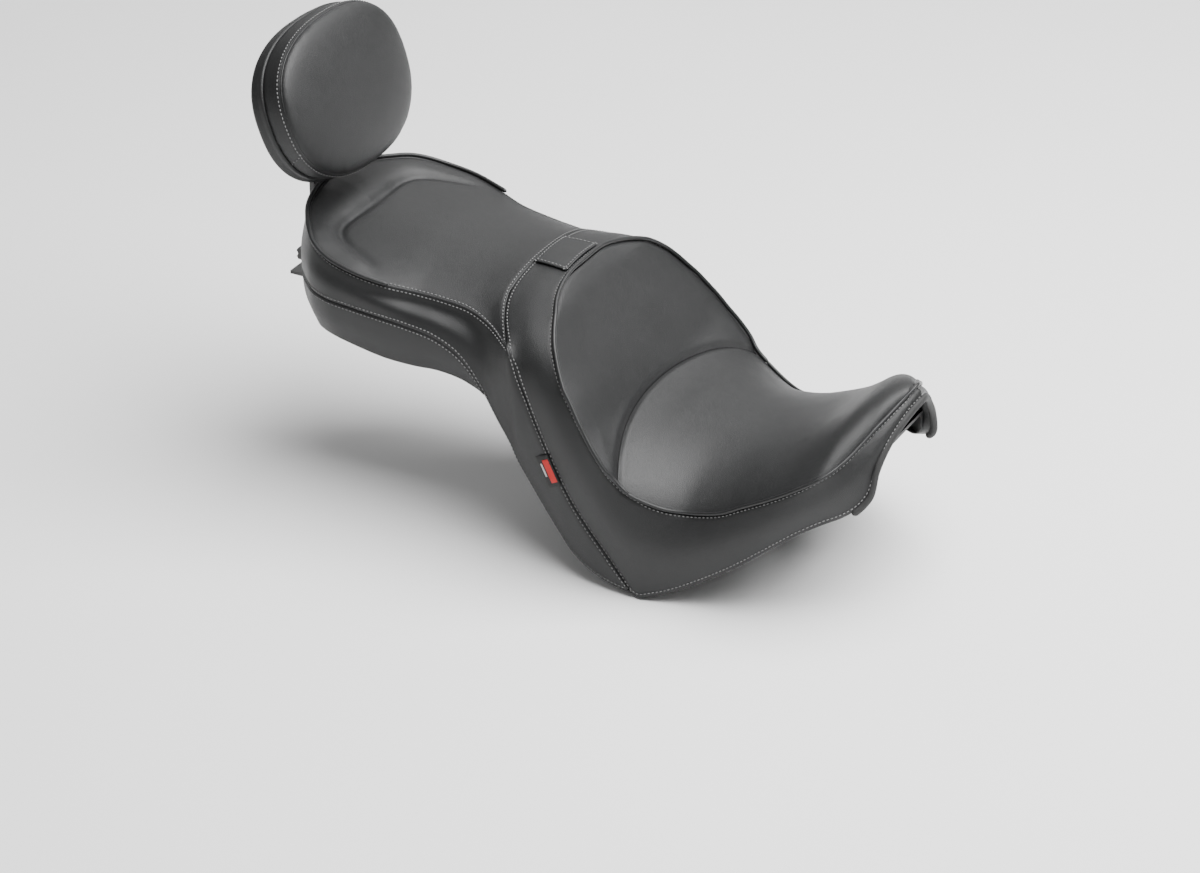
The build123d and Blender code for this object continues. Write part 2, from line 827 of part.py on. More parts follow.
def front_tongue():
    """Steel hook under the nose that slides under the frame's bracket."""
    x0, x1 = sx(tongue_rear_x), sx(tongue_tip_x)
    top = floor_z(tongue_rear_x) - pan_wall
    plate = Pos((x0 + x1) / 2, 0, top - tongue_thick / 2) * Box(x1 - x0, tongue_width, tongue_thick)
    plate = fillet(plate.edges().filter_by(Axis.Z).group_by(Axis.X)[-1], 14.0)
    for x in tongue_bolt_xs:
        plate -= upright(sx(x), 0, top - tongue_thick, tongue_thick, bolt_r + bolt_clear)
    return plate


def tongue_bolts():
    z = floor_z(tongue_rear_x)
    return Compound(children=[hex_bolt(sx(x), 0, z, pan_wall + tongue_thick) for x in tongue_bolt_xs])


def tongue_nuts():
    z = floor_z(tongue_rear_x) - pan_wall - tongue_thick
    return Compound(children=[hex_nut(sx(x), 0, z) for x in tongue_bolt_xs])


def bumper_places():
    rear = [(sx(x), y * 78.0 * passenger_stretch, floor_z(x) - pan_wall) for x in (215, 285) for y in (-1, 1)]
    front = [(sx(x), y * 96.0 * rider_stretch, floor_z(x) - pan_wall) for x in (520, 610) for y in (-1, 1)]
    return rear + front


def rubber_bumpers():
    bumpers = [upright(x, y, z - bumper_height, bumper_height, bumper_r) for x, y, z in bumper_places()]
    return Compound(children=bumpers)


def nose_lip():
    """Rubber lip under the nose's front edge."""
    rows = [r for r in rider_sections if r[0] >= 746]
    spots = [(sx(r[0]) + 6.0, r[6] * width_factor(r[0]) * 0.97, r[7] - 3.5) for r in rows]
    right = [(x, -y, z) for x, y, z in spots]
    tip = [(sx(793), -14, 14), (sx(793), 14, 14)]
    return cord_along(right + tip + spots[::-1], 5.0)


def main():
    os.makedirs("parts", exist_ok=True)
    behind_groove = groove_prism()
    top = rider_top()
    pieces = {
        "base_pan": base_pan(),
        "rider_foam": rider_foam(),
        "passenger_foam": passenger_foam(),
        "rider_back_panel": top & behind_groove,
        "rider_seat_panel": top - behind_groove,
        "center_band": center_band(),
        "right_rider_skirt": rider_skirt(-1),
        "left_rider_skirt": rider_skirt(1),
        "right_side_gusset": rear_side_gusset(-1),
        "left_side_gusset": rear_side_gusset(1),
        "passenger_top_panel": passenger_top_panel(),
        "passenger_boxing": passenger_boxing(),
        "passenger_lower_skirt": passenger_lower_skirt(),
        "rim_piping": rim_piping(),
        "rider_piping": rider_piping(),
        "rider_welt": rider_welt(),
        "nose_lip": nose_lip(),
        "backrest_flap": backrest_flap(),
        "side_tag": side_tag(),
        "backrest_socket": backrest_socket(),
        "socket_bolts": socket_bolts(),
        "socket_nuts": socket_nuts(),
        "tail_tab": tail_tab(),
        "tab_bolts": tab_bolts(),
        "tab_nuts": tab_nuts(),
        "front_tongue": front_tongue(),
        "tongue_bolts": tongue_bolts(),
        "tongue_nuts": tongue_nuts(),
        "rubber_bumpers": rubber_bumpers(),
        "post_receiver": post_receiver(),
        "backrest_post": backrest_post(),
        "clamp_screw": clamp_screw(),
        "tilt_bracket": tilt_bracket(),
        "pivot_bolt": pivot_bolt(),
        "pivot_nut": pivot_nut(),
        "bracket_screws": bracket_screws(),
        "pad_board": pad_board(),
        "pad_foam": pad_foam(),
        "pad_face_panel": pad_face_panel(),
        "pad_boxing_panel": pad_boxing_panel(),
        "pad_rear_shell": pad_rear_shell(),
    }
    for node, piece in pieces.items():
        export_step(piece, "parts/" + node + ".step")
        print(node, round(piece.volume / 1000.0, 2), "cm3")


main()
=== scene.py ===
import math
import bmesh
import bpy
import numpy as np
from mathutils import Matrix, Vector


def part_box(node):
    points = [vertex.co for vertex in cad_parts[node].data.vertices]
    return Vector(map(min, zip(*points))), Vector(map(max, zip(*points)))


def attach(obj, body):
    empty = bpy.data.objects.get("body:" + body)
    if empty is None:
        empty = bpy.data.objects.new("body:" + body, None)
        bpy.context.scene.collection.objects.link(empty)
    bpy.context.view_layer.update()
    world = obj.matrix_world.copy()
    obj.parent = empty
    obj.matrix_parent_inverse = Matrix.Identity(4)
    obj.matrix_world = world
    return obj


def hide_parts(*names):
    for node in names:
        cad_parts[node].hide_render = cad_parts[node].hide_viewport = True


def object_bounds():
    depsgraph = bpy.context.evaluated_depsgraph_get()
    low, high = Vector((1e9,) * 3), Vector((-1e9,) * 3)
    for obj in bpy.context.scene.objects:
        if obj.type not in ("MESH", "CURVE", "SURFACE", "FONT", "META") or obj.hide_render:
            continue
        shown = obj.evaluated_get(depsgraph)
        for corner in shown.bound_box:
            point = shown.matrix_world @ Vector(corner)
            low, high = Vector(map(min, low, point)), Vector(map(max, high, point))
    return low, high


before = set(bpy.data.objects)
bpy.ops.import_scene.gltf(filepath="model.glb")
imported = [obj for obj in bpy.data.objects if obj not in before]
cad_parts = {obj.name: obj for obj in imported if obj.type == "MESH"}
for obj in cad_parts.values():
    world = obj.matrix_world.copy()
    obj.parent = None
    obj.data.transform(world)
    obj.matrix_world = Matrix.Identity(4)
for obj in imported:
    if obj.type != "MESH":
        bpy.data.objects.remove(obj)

cadLow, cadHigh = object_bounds()
scene = bpy.context.scene
mm = 0.001


# One output socket; arithmetic on it adds Math nodes
class Sock:
    def __init__(self, tree, socket):
        self.tree = tree
        self.socket = socket

    def math(self, operation, other=None, swap=False, clamp=False):
        node = self.tree.nodes.new("ShaderNodeMath")
        node.operation = operation
        node.use_clamp = clamp
        pair = [self, other] if not swap else [other, self]
        for i, value in enumerate(pair):
            if value is None:
                continue
            if isinstance(value, Sock):
                self.tree.links.new(value.socket, node.inputs[i])
            else:
                node.inputs[i].default_value = value
        return Sock(self.tree, node.outputs[0])

    def __add__(self, other): return self.math("ADD", other)
    def __radd__(self, other): return self.math("ADD", other, True)
    def __mul__(self, other): return self.math("MULTIPLY", other)
    def __rmul__(self, other): return self.math("MULTIPLY", other, True)


# A material being built: add() makes any node, look() sets the principled shader
class Shader:
    def __init__(self, name):
        self.material = bpy.data.materials.new(name)
        self.material.use_nodes = True
        self.tree = self.material.node_tree
        self.principled = next(n for n in self.tree.nodes if n.type == "BSDF_PRINCIPLED")

    def add(self, kind, settings=None, inputs=None, out=0):
        node = self.tree.nodes.new("ShaderNode" + kind)
        for key, value in (settings or {}).items():
            if key == "stops":
                ramp = node.color_ramp
                while len(ramp.elements) < len(value):
                    ramp.elements.new(0.5)
                for element, (place, colour) in zip(ramp.elements, value):
                    element.position = place
                    element.color = colour
            else:
                setattr(node, key, value)
        for key, value in (inputs or {}).items():
            socket = node.inputs[key]
            if isinstance(value, Sock):
                self.tree.links.new(value.socket, socket)
            else:
                socket.default_value = value
        return Sock(self.tree, node.outputs[out])

    def place(self, scale=(1, 1, 1)):
        coords = self.add("TexCoord", out=3)
        return self.add("Mapping", {}, {"Vector": coords, "Scale": scale})

    def noise(self, scale, detail=2.0, rough=0.5, at=None):
        inputs = {"Vector": at or self.place(), "Scale": scale, "Detail": detail, "Roughness": rough}
        return self.add("TexNoise", {}, inputs)

    def mixColour(self, factor, a, b):
        node = self.tree.nodes.new("ShaderNodeMix")
        node.data_type = "RGBA"
        for socket, value in ((node.inputs[0], factor), (node.inputs[6], a), (node.inputs[7], b)):
            if isinstance(value, Sock):
                self.tree.links.new(value.socket, socket)
            else:
                socket.default_value = value
        return Sock(self.tree, node.outputs[2])

    def bump(self, height, strength, distance, under=None):
        inputs = {"Height": height, "Strength": strength, "Distance": distance}
        if under is not None:
            inputs["Normal"] = under
        return self.add("Bump", {}, inputs)

    def look(self, **values):
        for key, value in values.items():
            socket = self.principled.inputs[key.replace("_", " ")]
            if isinstance(value, Sock):
                self.tree.links.new(value.socket, socket)
            else:
                socket.default_value = value
        return self.material


def grey(level, warm=0.0):
    return (level * (1 + warm), level, level * (1 - warm), 1.0)


def vinylMaterial(name, settings):
    s = Shader(name)
    cells = s.add("TexVoronoi", {"feature": "DISTANCE_TO_EDGE"}, {
        "Vector": s.place(), "Scale": settings["grainScale"], "Randomness": 1.0})
    pores = s.noise(settings["grainScale"] * 1.7, 3.0, 0.6)
    cloud = s.noise(9.0, 3.0, 0.55)
    rub = s.noise(42.0, 4.0, 0.6)
    grain = cells.math("MINIMUM", 0.25) * 3.2 + pores * 0.7
    stops = [(0.3, grey(settings["dark"], -0.03)), (0.7, grey(settings["light"], -0.03))]
    tone = s.add("ValToRGB", {"stops": stops}, {"Fac": cloud * 0.6 + rub * 0.4})
    low = s.bump(cloud, 0.06, 0.004)
    return s.look(
        Base_Color=tone, Roughness=rub * 0.10 + pores * 0.06 + settings["rough"],
        Normal=s.bump(grain, settings["grainDepth"], 0.00022, low), Specular_IOR_Level=settings["shine"])


def threadMaterial(name, level):
    s = Shader(name)
    twist = s.add("TexWave", {"wave_type": "BANDS", "bands_direction": "DIAGONAL"}, {
        "Vector": s.place(), "Scale": 420.0, "Distortion": 1.5})
    fuzz = s.noise(900.0, 2.0)
    tone = s.mixColour(fuzz, grey(level * 0.7), grey(level * 1.3))
    return s.look(Base_Color=tone, Roughness=fuzz * 0.2 + 0.55, Normal=s.bump(twist, 0.5, 0.0002))


def plasticMaterial(name, level, rough, dimple):
    s = Shader(name)
    spark = s.noise(dimple, 4.0, 0.65)
    cloud = s.noise(14.0, 3.0)
    tone = s.mixColour(cloud, grey(level * 0.8), grey(level * 1.35))
    return s.look(Base_Color=tone, Roughness=spark * 0.15 + rough, Normal=s.bump(spark, 0.35, 0.0003))


def coatMaterial(name, level):
    s = Shader(name)
    peel = s.noise(650.0, 2.0)
    cloud = s.noise(18.0, 4.0, 0.6)
    tone = s.mixColour(cloud, grey(level * 0.8), grey(level * 1.4))
    return s.look(Base_Color=tone, Roughness=cloud * 0.12 + 0.30, Normal=s.bump(peel, 0.18, 0.0003))


def zincMaterial(name):
    s = Shader(name)
    brush = s.noise(60.0, 5.0, 0.7, s.place((1, 1, 14)))
    cloud = s.noise(90.0, 3.0)
    tone = s.mixColour(cloud, (0.46, 0.46, 0.44, 1), (0.66, 0.66, 0.62, 1))
    return s.look(
        Base_Color=tone, Metallic=1.0, Roughness=brush * 0.25 + 0.22, Normal=s.bump(brush, 0.15, 0.0002))


def rubberMaterial(name):
    s = Shader(name)
    dust = s.noise(55.0, 5.0, 0.7)
    tone = s.mixColour(dust, grey(0.010), grey(0.030))
    return s.look(Base_Color=tone, Roughness=dust * 0.2 + 0.62, Normal=s.bump(s.noise(800.0), 0.25, 0.0003))


def plyMaterial(name):
    s = Shader(name)
    rings = s.add("TexWave", {"wave_type": "BANDS", "bands_direction": "Z"}, {
        "Vector": s.place((1, 1, 0.6)), "Scale": 38.0, "Distortion": 6.0, "Detail": 3.0})
    tone = s.mixColour(rings, (0.30, 0.20, 0.11, 1), (0.50, 0.37, 0.22, 1))
    return s.look(Base_Color=tone, Roughness=rings * 0.1 + 0.6, Normal=s.bump(rings, 0.2, 0.0004))


def labelMaterial(name, colourA, colourB):
    s = Shader(name)
    weave = s.add("TexWave", {"wave_type": "BANDS", "bands_direction": "X"}, {
        "Vector": s.place(), "Scale": 650.0, "Distortion": 0.3})
    tone = s.mixColour(weave, colourA, colourB)
    return s.look(Base_Color=tone, Roughness=weave * 0.15 + 0.65, Normal=s.bump(weave, 0.5, 0.0002))


vinylLook = {
    "grainScale": 720.0, "grainDepth": 0.55, "dark": 0.0078, "light": 0.0125, "rough": 0.37, "shine": 0.42,
}
vinyl = vinylMaterial("satinVinyl", vinylLook)
weltVinyl = vinylMaterial("weltVinyl", dict(vinylLook, grainDepth=0.35, rough=0.30))
# The thread is black; its colour is lifted to grey 0.16 as a painted highlight, so the stitches show as
# lighter dots
thread = threadMaterial("blackThreadPaintedHighlight", 0.16)
panPlastic = plasticMaterial("panPlastic", 0.020, 0.45, 480.0)
knobPlastic = plasticMaterial("knobPlastic", 0.018, 0.30, 300.0)
blackSteel = coatMaterial("powderCoat", 0.018)
zincSteel = zincMaterial("zincPlate")
blackRubber = rubberMaterial("blackRubber")
plyBoard = plyMaterial("plyBoard")
labelBlack = labelMaterial("labelGround", grey(0.008), grey(0.022))
labelRed = labelMaterial("labelRed", (0.42, 0.012, 0.012, 1), (0.62, 0.03, 0.025, 1))
labelWhite = labelMaterial("labelWhite", grey(0.45), grey(0.7))
print("materials ready")


def knotsOf(points, power=0.5):
    gaps = np.linalg.norm(np.diff(points, axis=0).reshape(len(points) - 1, -1), axis=1)
    return np.concatenate([[0], np.cumsum(np.maximum(gaps, 1e-6) ** power)])


# A smooth run through values at their knots
def smoothThrough(values, knots, at):
    values = np.asarray(values, float)
    shape = (-1,) + (1,) * (values.ndim - 1)
    gaps = np.diff(knots).reshape(shape)
    slopes = np.diff(values, axis=0) / gaps
    ways = np.empty_like(values)
    ways[0], ways[-1] = slopes[0], slopes[-1]
    ways[1:-1] = (slopes[:-1] * gaps[1:] + slopes[1:] * gaps[:-1]) / (gaps[1:] + gaps[:-1])
    i = np.clip(np.searchsorted(knots, at, side="right") - 1, 0, len(knots) - 2)
    h = gaps[i]
    t = ((np.asarray(at) - knots[i]).reshape(shape)) / h
    a, b, p, q = values[i], values[i + 1], ways[i], ways[i + 1]
    return ((2 * t**3 - 3 * t**2 + 1) * a + (t**3 - 2 * t**2 + t) * h * p
            + (3 * t**2 - 2 * t**3) * b + (t**3 - t**2) * h * q)


# The same run with evenly spread points
def evenly(points, count):
    points = np.asarray(points, float)
    reach = knotsOf(points, 1.0)
    at = np.linspace(0, reach[-1], count)
    return np.stack([np.interp(at, reach, points[:, k]) for k in range(points.shape[1])], axis=1)


def lineThrough(points, count):
    points = np.asarray(points, float)
    knots = knotsOf(points)
    fine = smoothThrough(points, knots, np.linspace(0, knots[-1], count * 4))
    return evenly(fine, count)


# Rows given on one side, from the middle out, made into both sides
def mirrorRows(rows):
    rows = np.asarray(rows, float)
    other = rows.copy()
    other[..., 1] *= -1
    return np.concatenate([other[::-1], rows[1:]])


# A smooth surface through a net of points: one row of points per station
def netSurface(stations, along, across, overlap=0):
    stations = np.asarray(stations, float)
    rows = []
    for row in stations:
        knots = knotsOf(row)
        fine = smoothThrough(row, knots, np.linspace(0, knots[-1], across * 3))
        rows.append(evenly(fine, across))
    rows = np.array(rows)
    gaps = np.linalg.norm(np.diff(rows, axis=0), axis=2).mean(axis=1)
    knots = np.concatenate([[0], np.cumsum(gaps)])
    first, last = knots[overlap], knots[-1 - overlap]
    return smoothThrough(rows, knots, np.linspace(first, last, along))


def normalsOf(grid, outward):
    along = np.gradient(grid, axis=0)
    across = np.gradient(grid, axis=1)
    n = np.cross(along, across)
    n /= np.maximum(np.linalg.norm(n, axis=2, keepdims=True), 1e-9)
    return n if (n * outward(grid)).sum() > 0 else -n


def upward(grid):
    return np.broadcast_to([0, 0, 1.0], grid.shape)


def upForward(grid):
    return np.broadcast_to([0.5, 0, 1.0], grid.shape)


# Rough outward direction for the sides of the seat
def away(grid):
    middle = np.clip(grid[..., 0:1], 150.0, 700.0)
    centre = np.concatenate([middle, np.zeros_like(middle), grid[..., 2:3]], axis=2)
    return grid - centre


def bandOut(grid):
    return away(grid) * 0.3 + np.array([0, 0, 20.0])


# 1 on the line, falling smoothly to 0 a few widths away
def nearTo(grid, line, width):
    flat = grid.reshape(-1, 3)
    line = np.asarray(line, float)
    best = np.full(len(flat), 1e9)
    for start in range(0, len(line), 40):
        part = line[start:start + 40]
        d = np.linalg.norm(flat[:, None, :] - part[None, :, :], axis=2).min(axis=1)
        best = np.minimum(best, d)
    return np.exp(-(best / width) ** 2).reshape(grid.shape[:2])


# Draws a surface in along a line, as a seam does
def tuck(grid, normals, line, depth, width):
    return grid - normals * (depth * nearTo(grid, line, width))[..., None]


# A line on the surface, at a distance from its first or last column
def besideEdge(grid, distance, last=False):
    line = []
    for row in (grid[:, ::-1] if last else grid):
        reach = knotsOf(row, 1.0)
        line.append([np.interp(distance, reach, row[:, k]) for k in range(3)])
    return np.array(line)


def meshFrom(name, verts, faces, material):
    mesh = bpy.data.meshes.new(name)
    mesh.from_pydata([tuple(v) for v in np.asarray(verts) * mm], [], faces)
    mesh.materials.append(material)
    obj = bpy.data.objects.new(name, mesh)
    scene.collection.objects.link(obj)
    return obj


# Turns an object with modifiers into a plain mesh
def useModifiers(obj):
    bpy.context.view_layer.update()
    graph = bpy.context.evaluated_depsgraph_get()
    made = bpy.data.meshes.new_from_object(obj.evaluated_get(graph))
    old = obj.data
    obj.modifiers.clear()
    obj.data = made
    if old.users == 0:
        bpy.data.meshes.remove(old)
    obj.data.name = obj.name
    return obj


def tidyMesh(obj, merge=0.00002):
    bm = bmesh.new()
    bm.from_mesh(obj.data)
    bmesh.ops.remove_doubles(bm, verts=bm.verts, dist=merge)
    bmesh.ops.dissolve_degenerate(bm, edges=bm.edges, dist=merge / 4)
    bmesh.ops.recalc_face_normals(bm, faces=bm.faces)
    for face in bm.faces:
        face.smooth = True
    bm.to_mesh(obj.data)
    bm.free()
    return obj


def gridFaces(rows, columns):
    corners = [i * columns + j for i in range(rows - 1) for j in range(columns - 1)]
    return [(a, a + 1, a + columns + 1, a + columns) for a in corners]


# Side faces of rings of points laid one after another; the last ring joins the first where closed
def tubeFaces(rows, sides, closed=False):
    faces = []
    for i in range(rows if closed else rows - 1):
        here, there = i * sides, (i + 1) % rows * sides
        for j in range(sides):
            k = (j + 1) % sides
            faces.append((here + j, here + k, there + k, there + j))
    return faces


def capFaces(rows, sides):
    return [tuple(range(sides))[::-1], tuple((rows - 1) * sides + j for j in range(sides))]


# Makes edges in a mesh along planes, so that what lies between them can be taken out
def cutAlong(bm, planes):
    for place, way in planes:
        every = list(bm.verts) + list(bm.edges) + list(bm.faces)
        bmesh.ops.bisect_plane(bm, geom=every, plane_co=place, plane_no=way)


# A sewn panel: the surface with its own thickness behind it and closed edges
def panel(name, grid, normals, thick, material=None):
    rows, columns = grid.shape[:2]
    inner = grid - normals * thick
    verts = np.concatenate([grid.reshape(-1, 3), inner.reshape(-1, 3)])
    count = rows * columns
    faces = gridFaces(rows, columns) + [tuple(i + count for i in f[::-1]) for f in gridFaces(rows, columns)]
    border = [(0, j) for j in range(columns)] + [(i, columns - 1) for i in range(1, rows)]
    border += [(rows - 1, j) for j in range(columns - 2, -1, -1)] + [(i, 0) for i in range(rows - 2, 0, -1)]
    ring = [i * columns + j for i, j in border]
    for a, b in zip(ring, ring[1:] + ring[:1]):
        faces.append((b, a, a + count, b + count))
    obj = meshFrom(name, verts, faces, material or vinyl)
    return tidyMesh(obj)


# Points of a profile swept along a line, square to it
def ringAlong(line, profile, closed=False):
    line = np.asarray(line, float)
    ways = np.gradient(line, axis=0)
    if closed:
        ways = np.roll(line, -1, axis=0) - np.roll(line, 1, axis=0)
    ways /= np.linalg.norm(ways, axis=1, keepdims=True)
    side = np.cross(ways, [0, 0, 1.0])
    side /= np.maximum(np.linalg.norm(side, axis=1, keepdims=True), 1e-6)
    up = np.cross(side, ways)
    return line[:, None, :] + side[:, None, :] * profile[None, :, 0:1] + up[:, None, :] * profile[None, :, 1:2]


# Sweeps a profile along a line; the ends shrink by endShares unless the line is closed
def sweptPiece(name, line, profile, material, endShares, closed=False):
    rings = ringAlong(line, profile, closed)
    rows, sides = rings.shape[:2]
    faces = tubeFaces(rows, sides, closed)
    if not closed:
        for k, share in enumerate(endShares):
            rings[k] = line[k] + (rings[k] - line[k]) * share
            rings[-1 - k] = line[-1 - k] + (rings[-1 - k] - line[-1 - k]) * share
        faces += capFaces(rows, sides)
    return tidyMesh(meshFrom(name, rings.reshape(-1, 3), faces, material))


def roundProfile(sides, wide, tall):
    turn = np.linspace(0, 2 * math.pi, sides, endpoint=False)
    return np.stack([np.cos(turn) * wide, np.sin(turn) * tall], axis=1)


# A round welt along a line
def cordPiece(name, line, radius, closed=False):
    return sweptPiece(name, line, roundProfile(10, radius, radius), weltVinyl, (0.25, 0.7, 0.93), closed)


# Seams of the seat on one side, from the tail forward, in millimetres
seatLines = {
    # rim: top edge of the passenger part
    "rim": [(33, 0, 127), (36, 30, 126), (45, 66, 122), (59, 92, 118), (74, 113, 114), (88, 127, 108),
            (112, 138.5, 99.5), (145, 143, 92), (185, 137.5, 83), (220, 127, 77), (255, 122.5, 73),
            (285, 122, 69), (313, 129, 62), (338, 143, 55), (358, 159, 50)],
    # lower side seam
    "lower": [(22, 0, 56), (26.5, 36, 54), (40, 76, 52), (55, 102, 52), (72, 121, 52), (88, 136, 52),
              (112, 147, 51), (145, 150, 49), (185, 149, 45), (220, 147.5, 41), (255, 146, 34),
              (285, 146, 19), (313, 148, -11)],
    # bottom edge of the passenger part
    "bottom": [(29, 0, 22), (31, 28, 17), (43, 62, 4), (57, 84, -2), (72, 102, -4), (88, 118, -3),
               (112, 131, -2), (145, 137, -5), (185, 139, -10), (220, 139, -11), (255, 138, -10),
               (285, 138, -14), (313, 140, -24)],
    # crown height of the passenger part and band along the middle
    "crown": [(33, 104), (91, 104), (112, 102), (145, 99), (185, 97), (220, 95), (255, 94), (285, 95),
              (313, 98), (338, 99), (372, 97.5)],
    "edgeMore": [(370, 161, 47), (380, 163, 42)],
}
rim = np.array(seatLines["rim"], float)


# Half width and height of the passenger part's edge
def edgeAt(x):
    line = np.array(seatLines["rim"] + seatLines["edgeMore"], float)
    return np.interp(x, line[:, 0], line[:, 1]), np.interp(x, line[:, 0], line[:, 2])


def crownAt(x):
    line = np.array(seatLines["crown"], float)
    fine = np.linspace(line[0, 0], line[-1, 0], 200)
    return np.interp(x, fine, smoothThrough(line[:, 1], line[:, 0], fine))


dishLook = {
    "centreX": 175.0,
    # angle from straight back, and distance of the moulded groove from the centre
    "groove": [(0, 84), (10, 85.5), (20, 89.5), (35.5, 103.2), (43.5, 110.3), (51.7, 114.6), (61.4, 115),
               (73.4, 115.8), (82.8, 120), (91, 129)],
    "rollHeight": [(0, 6.5), (30, 6.5), (50, 6), (65, 5), (78, 3.5), (90, 0)],
    "grooveDepth": 3.0, "grooveWidth": 4.8,
    "tailX": 112, "tailHeight": 100.5,     # behind this the middle stays level
    "fade": (92, 16),                      # angle where the roll has run out, and over how much
}


# Height of the passenger part's top: crown, dish, moulded groove and raised roll
def passengerTopZ(x, y):
    half, edge = edgeAt(np.maximum(x, 91.0))
    f = np.clip(np.abs(y) / half, 0, 1)
    dish = edge + (crownAt(x) - edge) * (1 - f ** 2.5)
    dish = np.where(x < dishLook["tailX"], np.maximum(dish, dishLook["tailHeight"]), dish)
    dx, dy = dishLook["centreX"] - x, np.abs(y)
    angle = np.degrees(np.arctan2(dy, dx))
    r = np.hypot(dx, dy)
    g = np.array(dishLook["groove"], float)
    fine = np.linspace(0, 91, 120)
    grooveR = np.interp(angle, fine, smoothThrough(g[:, 1], g[:, 0], fine))
    rimAngle = np.degrees(np.arctan2(rim[:, 1], dishLook["centreX"] - rim[:, 0]))
    rimR = np.interp(angle, rimAngle, np.hypot(dishLook["centreX"] - rim[:, 0], rim[:, 1]))
    rimZ = np.interp(angle, rimAngle, rim[:, 2])
    h = np.interp(angle, *np.array(dishLook["rollHeight"], float).T)
    s = np.clip((r - grooveR) / np.maximum(rimR - grooveR, 4.0), 0, 1)
    grooveZ = np.interp(angle, [0, 60, 90], [103, 98, 91])
    roll = grooveZ + (rimZ - grooveZ) * s + h * np.sin(math.pi * s ** 0.75)
    gone, over = dishLook["fade"]
    weight = np.clip((gone - angle) / over, 0, 1)
    weight = weight * weight * (3 - 2 * weight)
    z = np.where(r > grooveR, dish * (1 - weight) + roll * weight, dish)
    crease = np.exp(-((r - grooveR) / dishLook["grooveWidth"]) ** 2) * weight
    return z - crease * dishLook["grooveDepth"]


# Evens out heights inside a grid, leaving its border
def softened(grid, times):
    z = grid[..., 2].copy()
    for _ in range(times):
        inner = (z[:-2, 1:-1] + z[2:, 1:-1] + z[1:-1, :-2] + z[1:-1, 2:]) / 4
        z[1:-1, 1:-1] = z[1:-1, 1:-1] * 0.4 + inner * 0.6
    grid[..., 2] = z
    return grid


passengerLook = {"thick": 2.4, "rows": 150, "columns": 101, "seamDip": 1.8, "seamWidth": 4.0}


# The seam between the passenger part's top and the band, from the middle out
def bandSeam(count=60):
    f = np.linspace(0, 1, count)
    y = 159.0 * f
    x = 320 + 38 * np.clip((f - 0.53) / 0.47, 0, 1) ** 1.7
    z = passengerTopZ(x, y)
    z[-1] = 50.0
    return np.stack([x, y, z], axis=1)


def passengerTopGrid():
    s = passengerLook
    edge = lineThrough(rim, s["rows"])
    f = np.linspace(-1, 1, s["columns"])
    grid = np.zeros((s["rows"], s["columns"], 3))
    for i, (ex, ey, ez) in enumerate(edge):
        cx = ex if ex < 280 else 280 + (ex - 280) * 40 / 78
        warp = np.clip((np.abs(f) - 0.53) / 0.47, 0, 1) ** 1.7
        x = cx + (ex - cx) * warp
        y = ey * f
        z = passengerTopZ(x, y)
        pull = np.abs(f) ** 14
        z = z * (1 - pull) + ez * pull
        grid[i] = np.stack([x, y, z], axis=1)
    grid = softened(grid, 3)
    edgeLine = mirrorRows(edge)
    grid[..., 2] -= s["seamDip"] * nearTo(grid, edgeLine, s["seamWidth"])
    grid[..., 2] -= 1.3 * nearTo(grid, mirrorRows(bandSeam()), 3.5)
    return grid


def topNormals(grid):
    n = normalsOf(grid, upward)
    n[0] = n[2]
    return n


topGrid = passengerTopGrid()
passengerTop = panel("passengerTop", topGrid, topNormals(topGrid), passengerLook["thick"])
print("passenger top ready")


sideLook = {"thick": 2.4, "along": 520, "across": 26, "bulge": 3.4, "bulgeDrop": 13.0,
            "rimTuck": 1.6, "lowTuck": 1.2}
# Side seam of the band going down, the middle of the gusset and the bottom edge below it
gussetRows = [
    ((338, 143, 55), (338, 155, 5), (336, 147, -52)),
    ((358, 159, 50), (355, 162, -5), (352, 150.5, -72)),
    ((370, 164, 25), (368, 166, -32), (366, 155, -92)),
    ((384, 166, -5), (382, 167.5, -56), (380, 158, -109)),
    ((396, 169, -28), (395, 169.5, -76), (394, 161, -126)),
    ((410, 172, -53), (409, 172, -97), (408, 164, -142)),
    ((426, 175, -80), (425, 175, -119), (424, 168, -159)),
    ((448, 178, -113), (447, 178.8, -146), (446, 174, -179)),
    ((470, 181, -138), (470, 182.6, -164), (470, 180, -190)),
    ((489, 183, -158), (489, 184.2, -177), (489, 182.5, -196)),
    ((509, 184, -181), (509, 184.8, -190), (509, 184, -200)),
    ((524, 184.8, -197), (524, 185, -199), (524, 185, -201)),
]


def sideStations():
    s = sideLook
    rows = []
    for top, low in zip(np.array(seatLines["rim"], float), np.array(seatLines["lower"], float)):
        out = low - top
        out[2] = 0
        flat = np.array([top[0] - 175, top[1], 0])
        if top[0] > 175:
            flat[0] = 0
        flat /= np.linalg.norm(flat)
        first = top + flat * s["bulge"] - [0, 0, s["bulgeDrop"]]
        second = top * 0.42 + low * 0.58 + flat * 3.6
        rows.append([top, first, second, low])
    for top, mid, low in np.array(gussetRows, float):
        first = top * 0.62 + mid * 0.38
        first[1] += 1.8 if top[0] < 380 else 0.6
        second = mid * 0.85 + low * 0.15
        rows.append([top, first, second, low])
    return mirrorRows(rows)


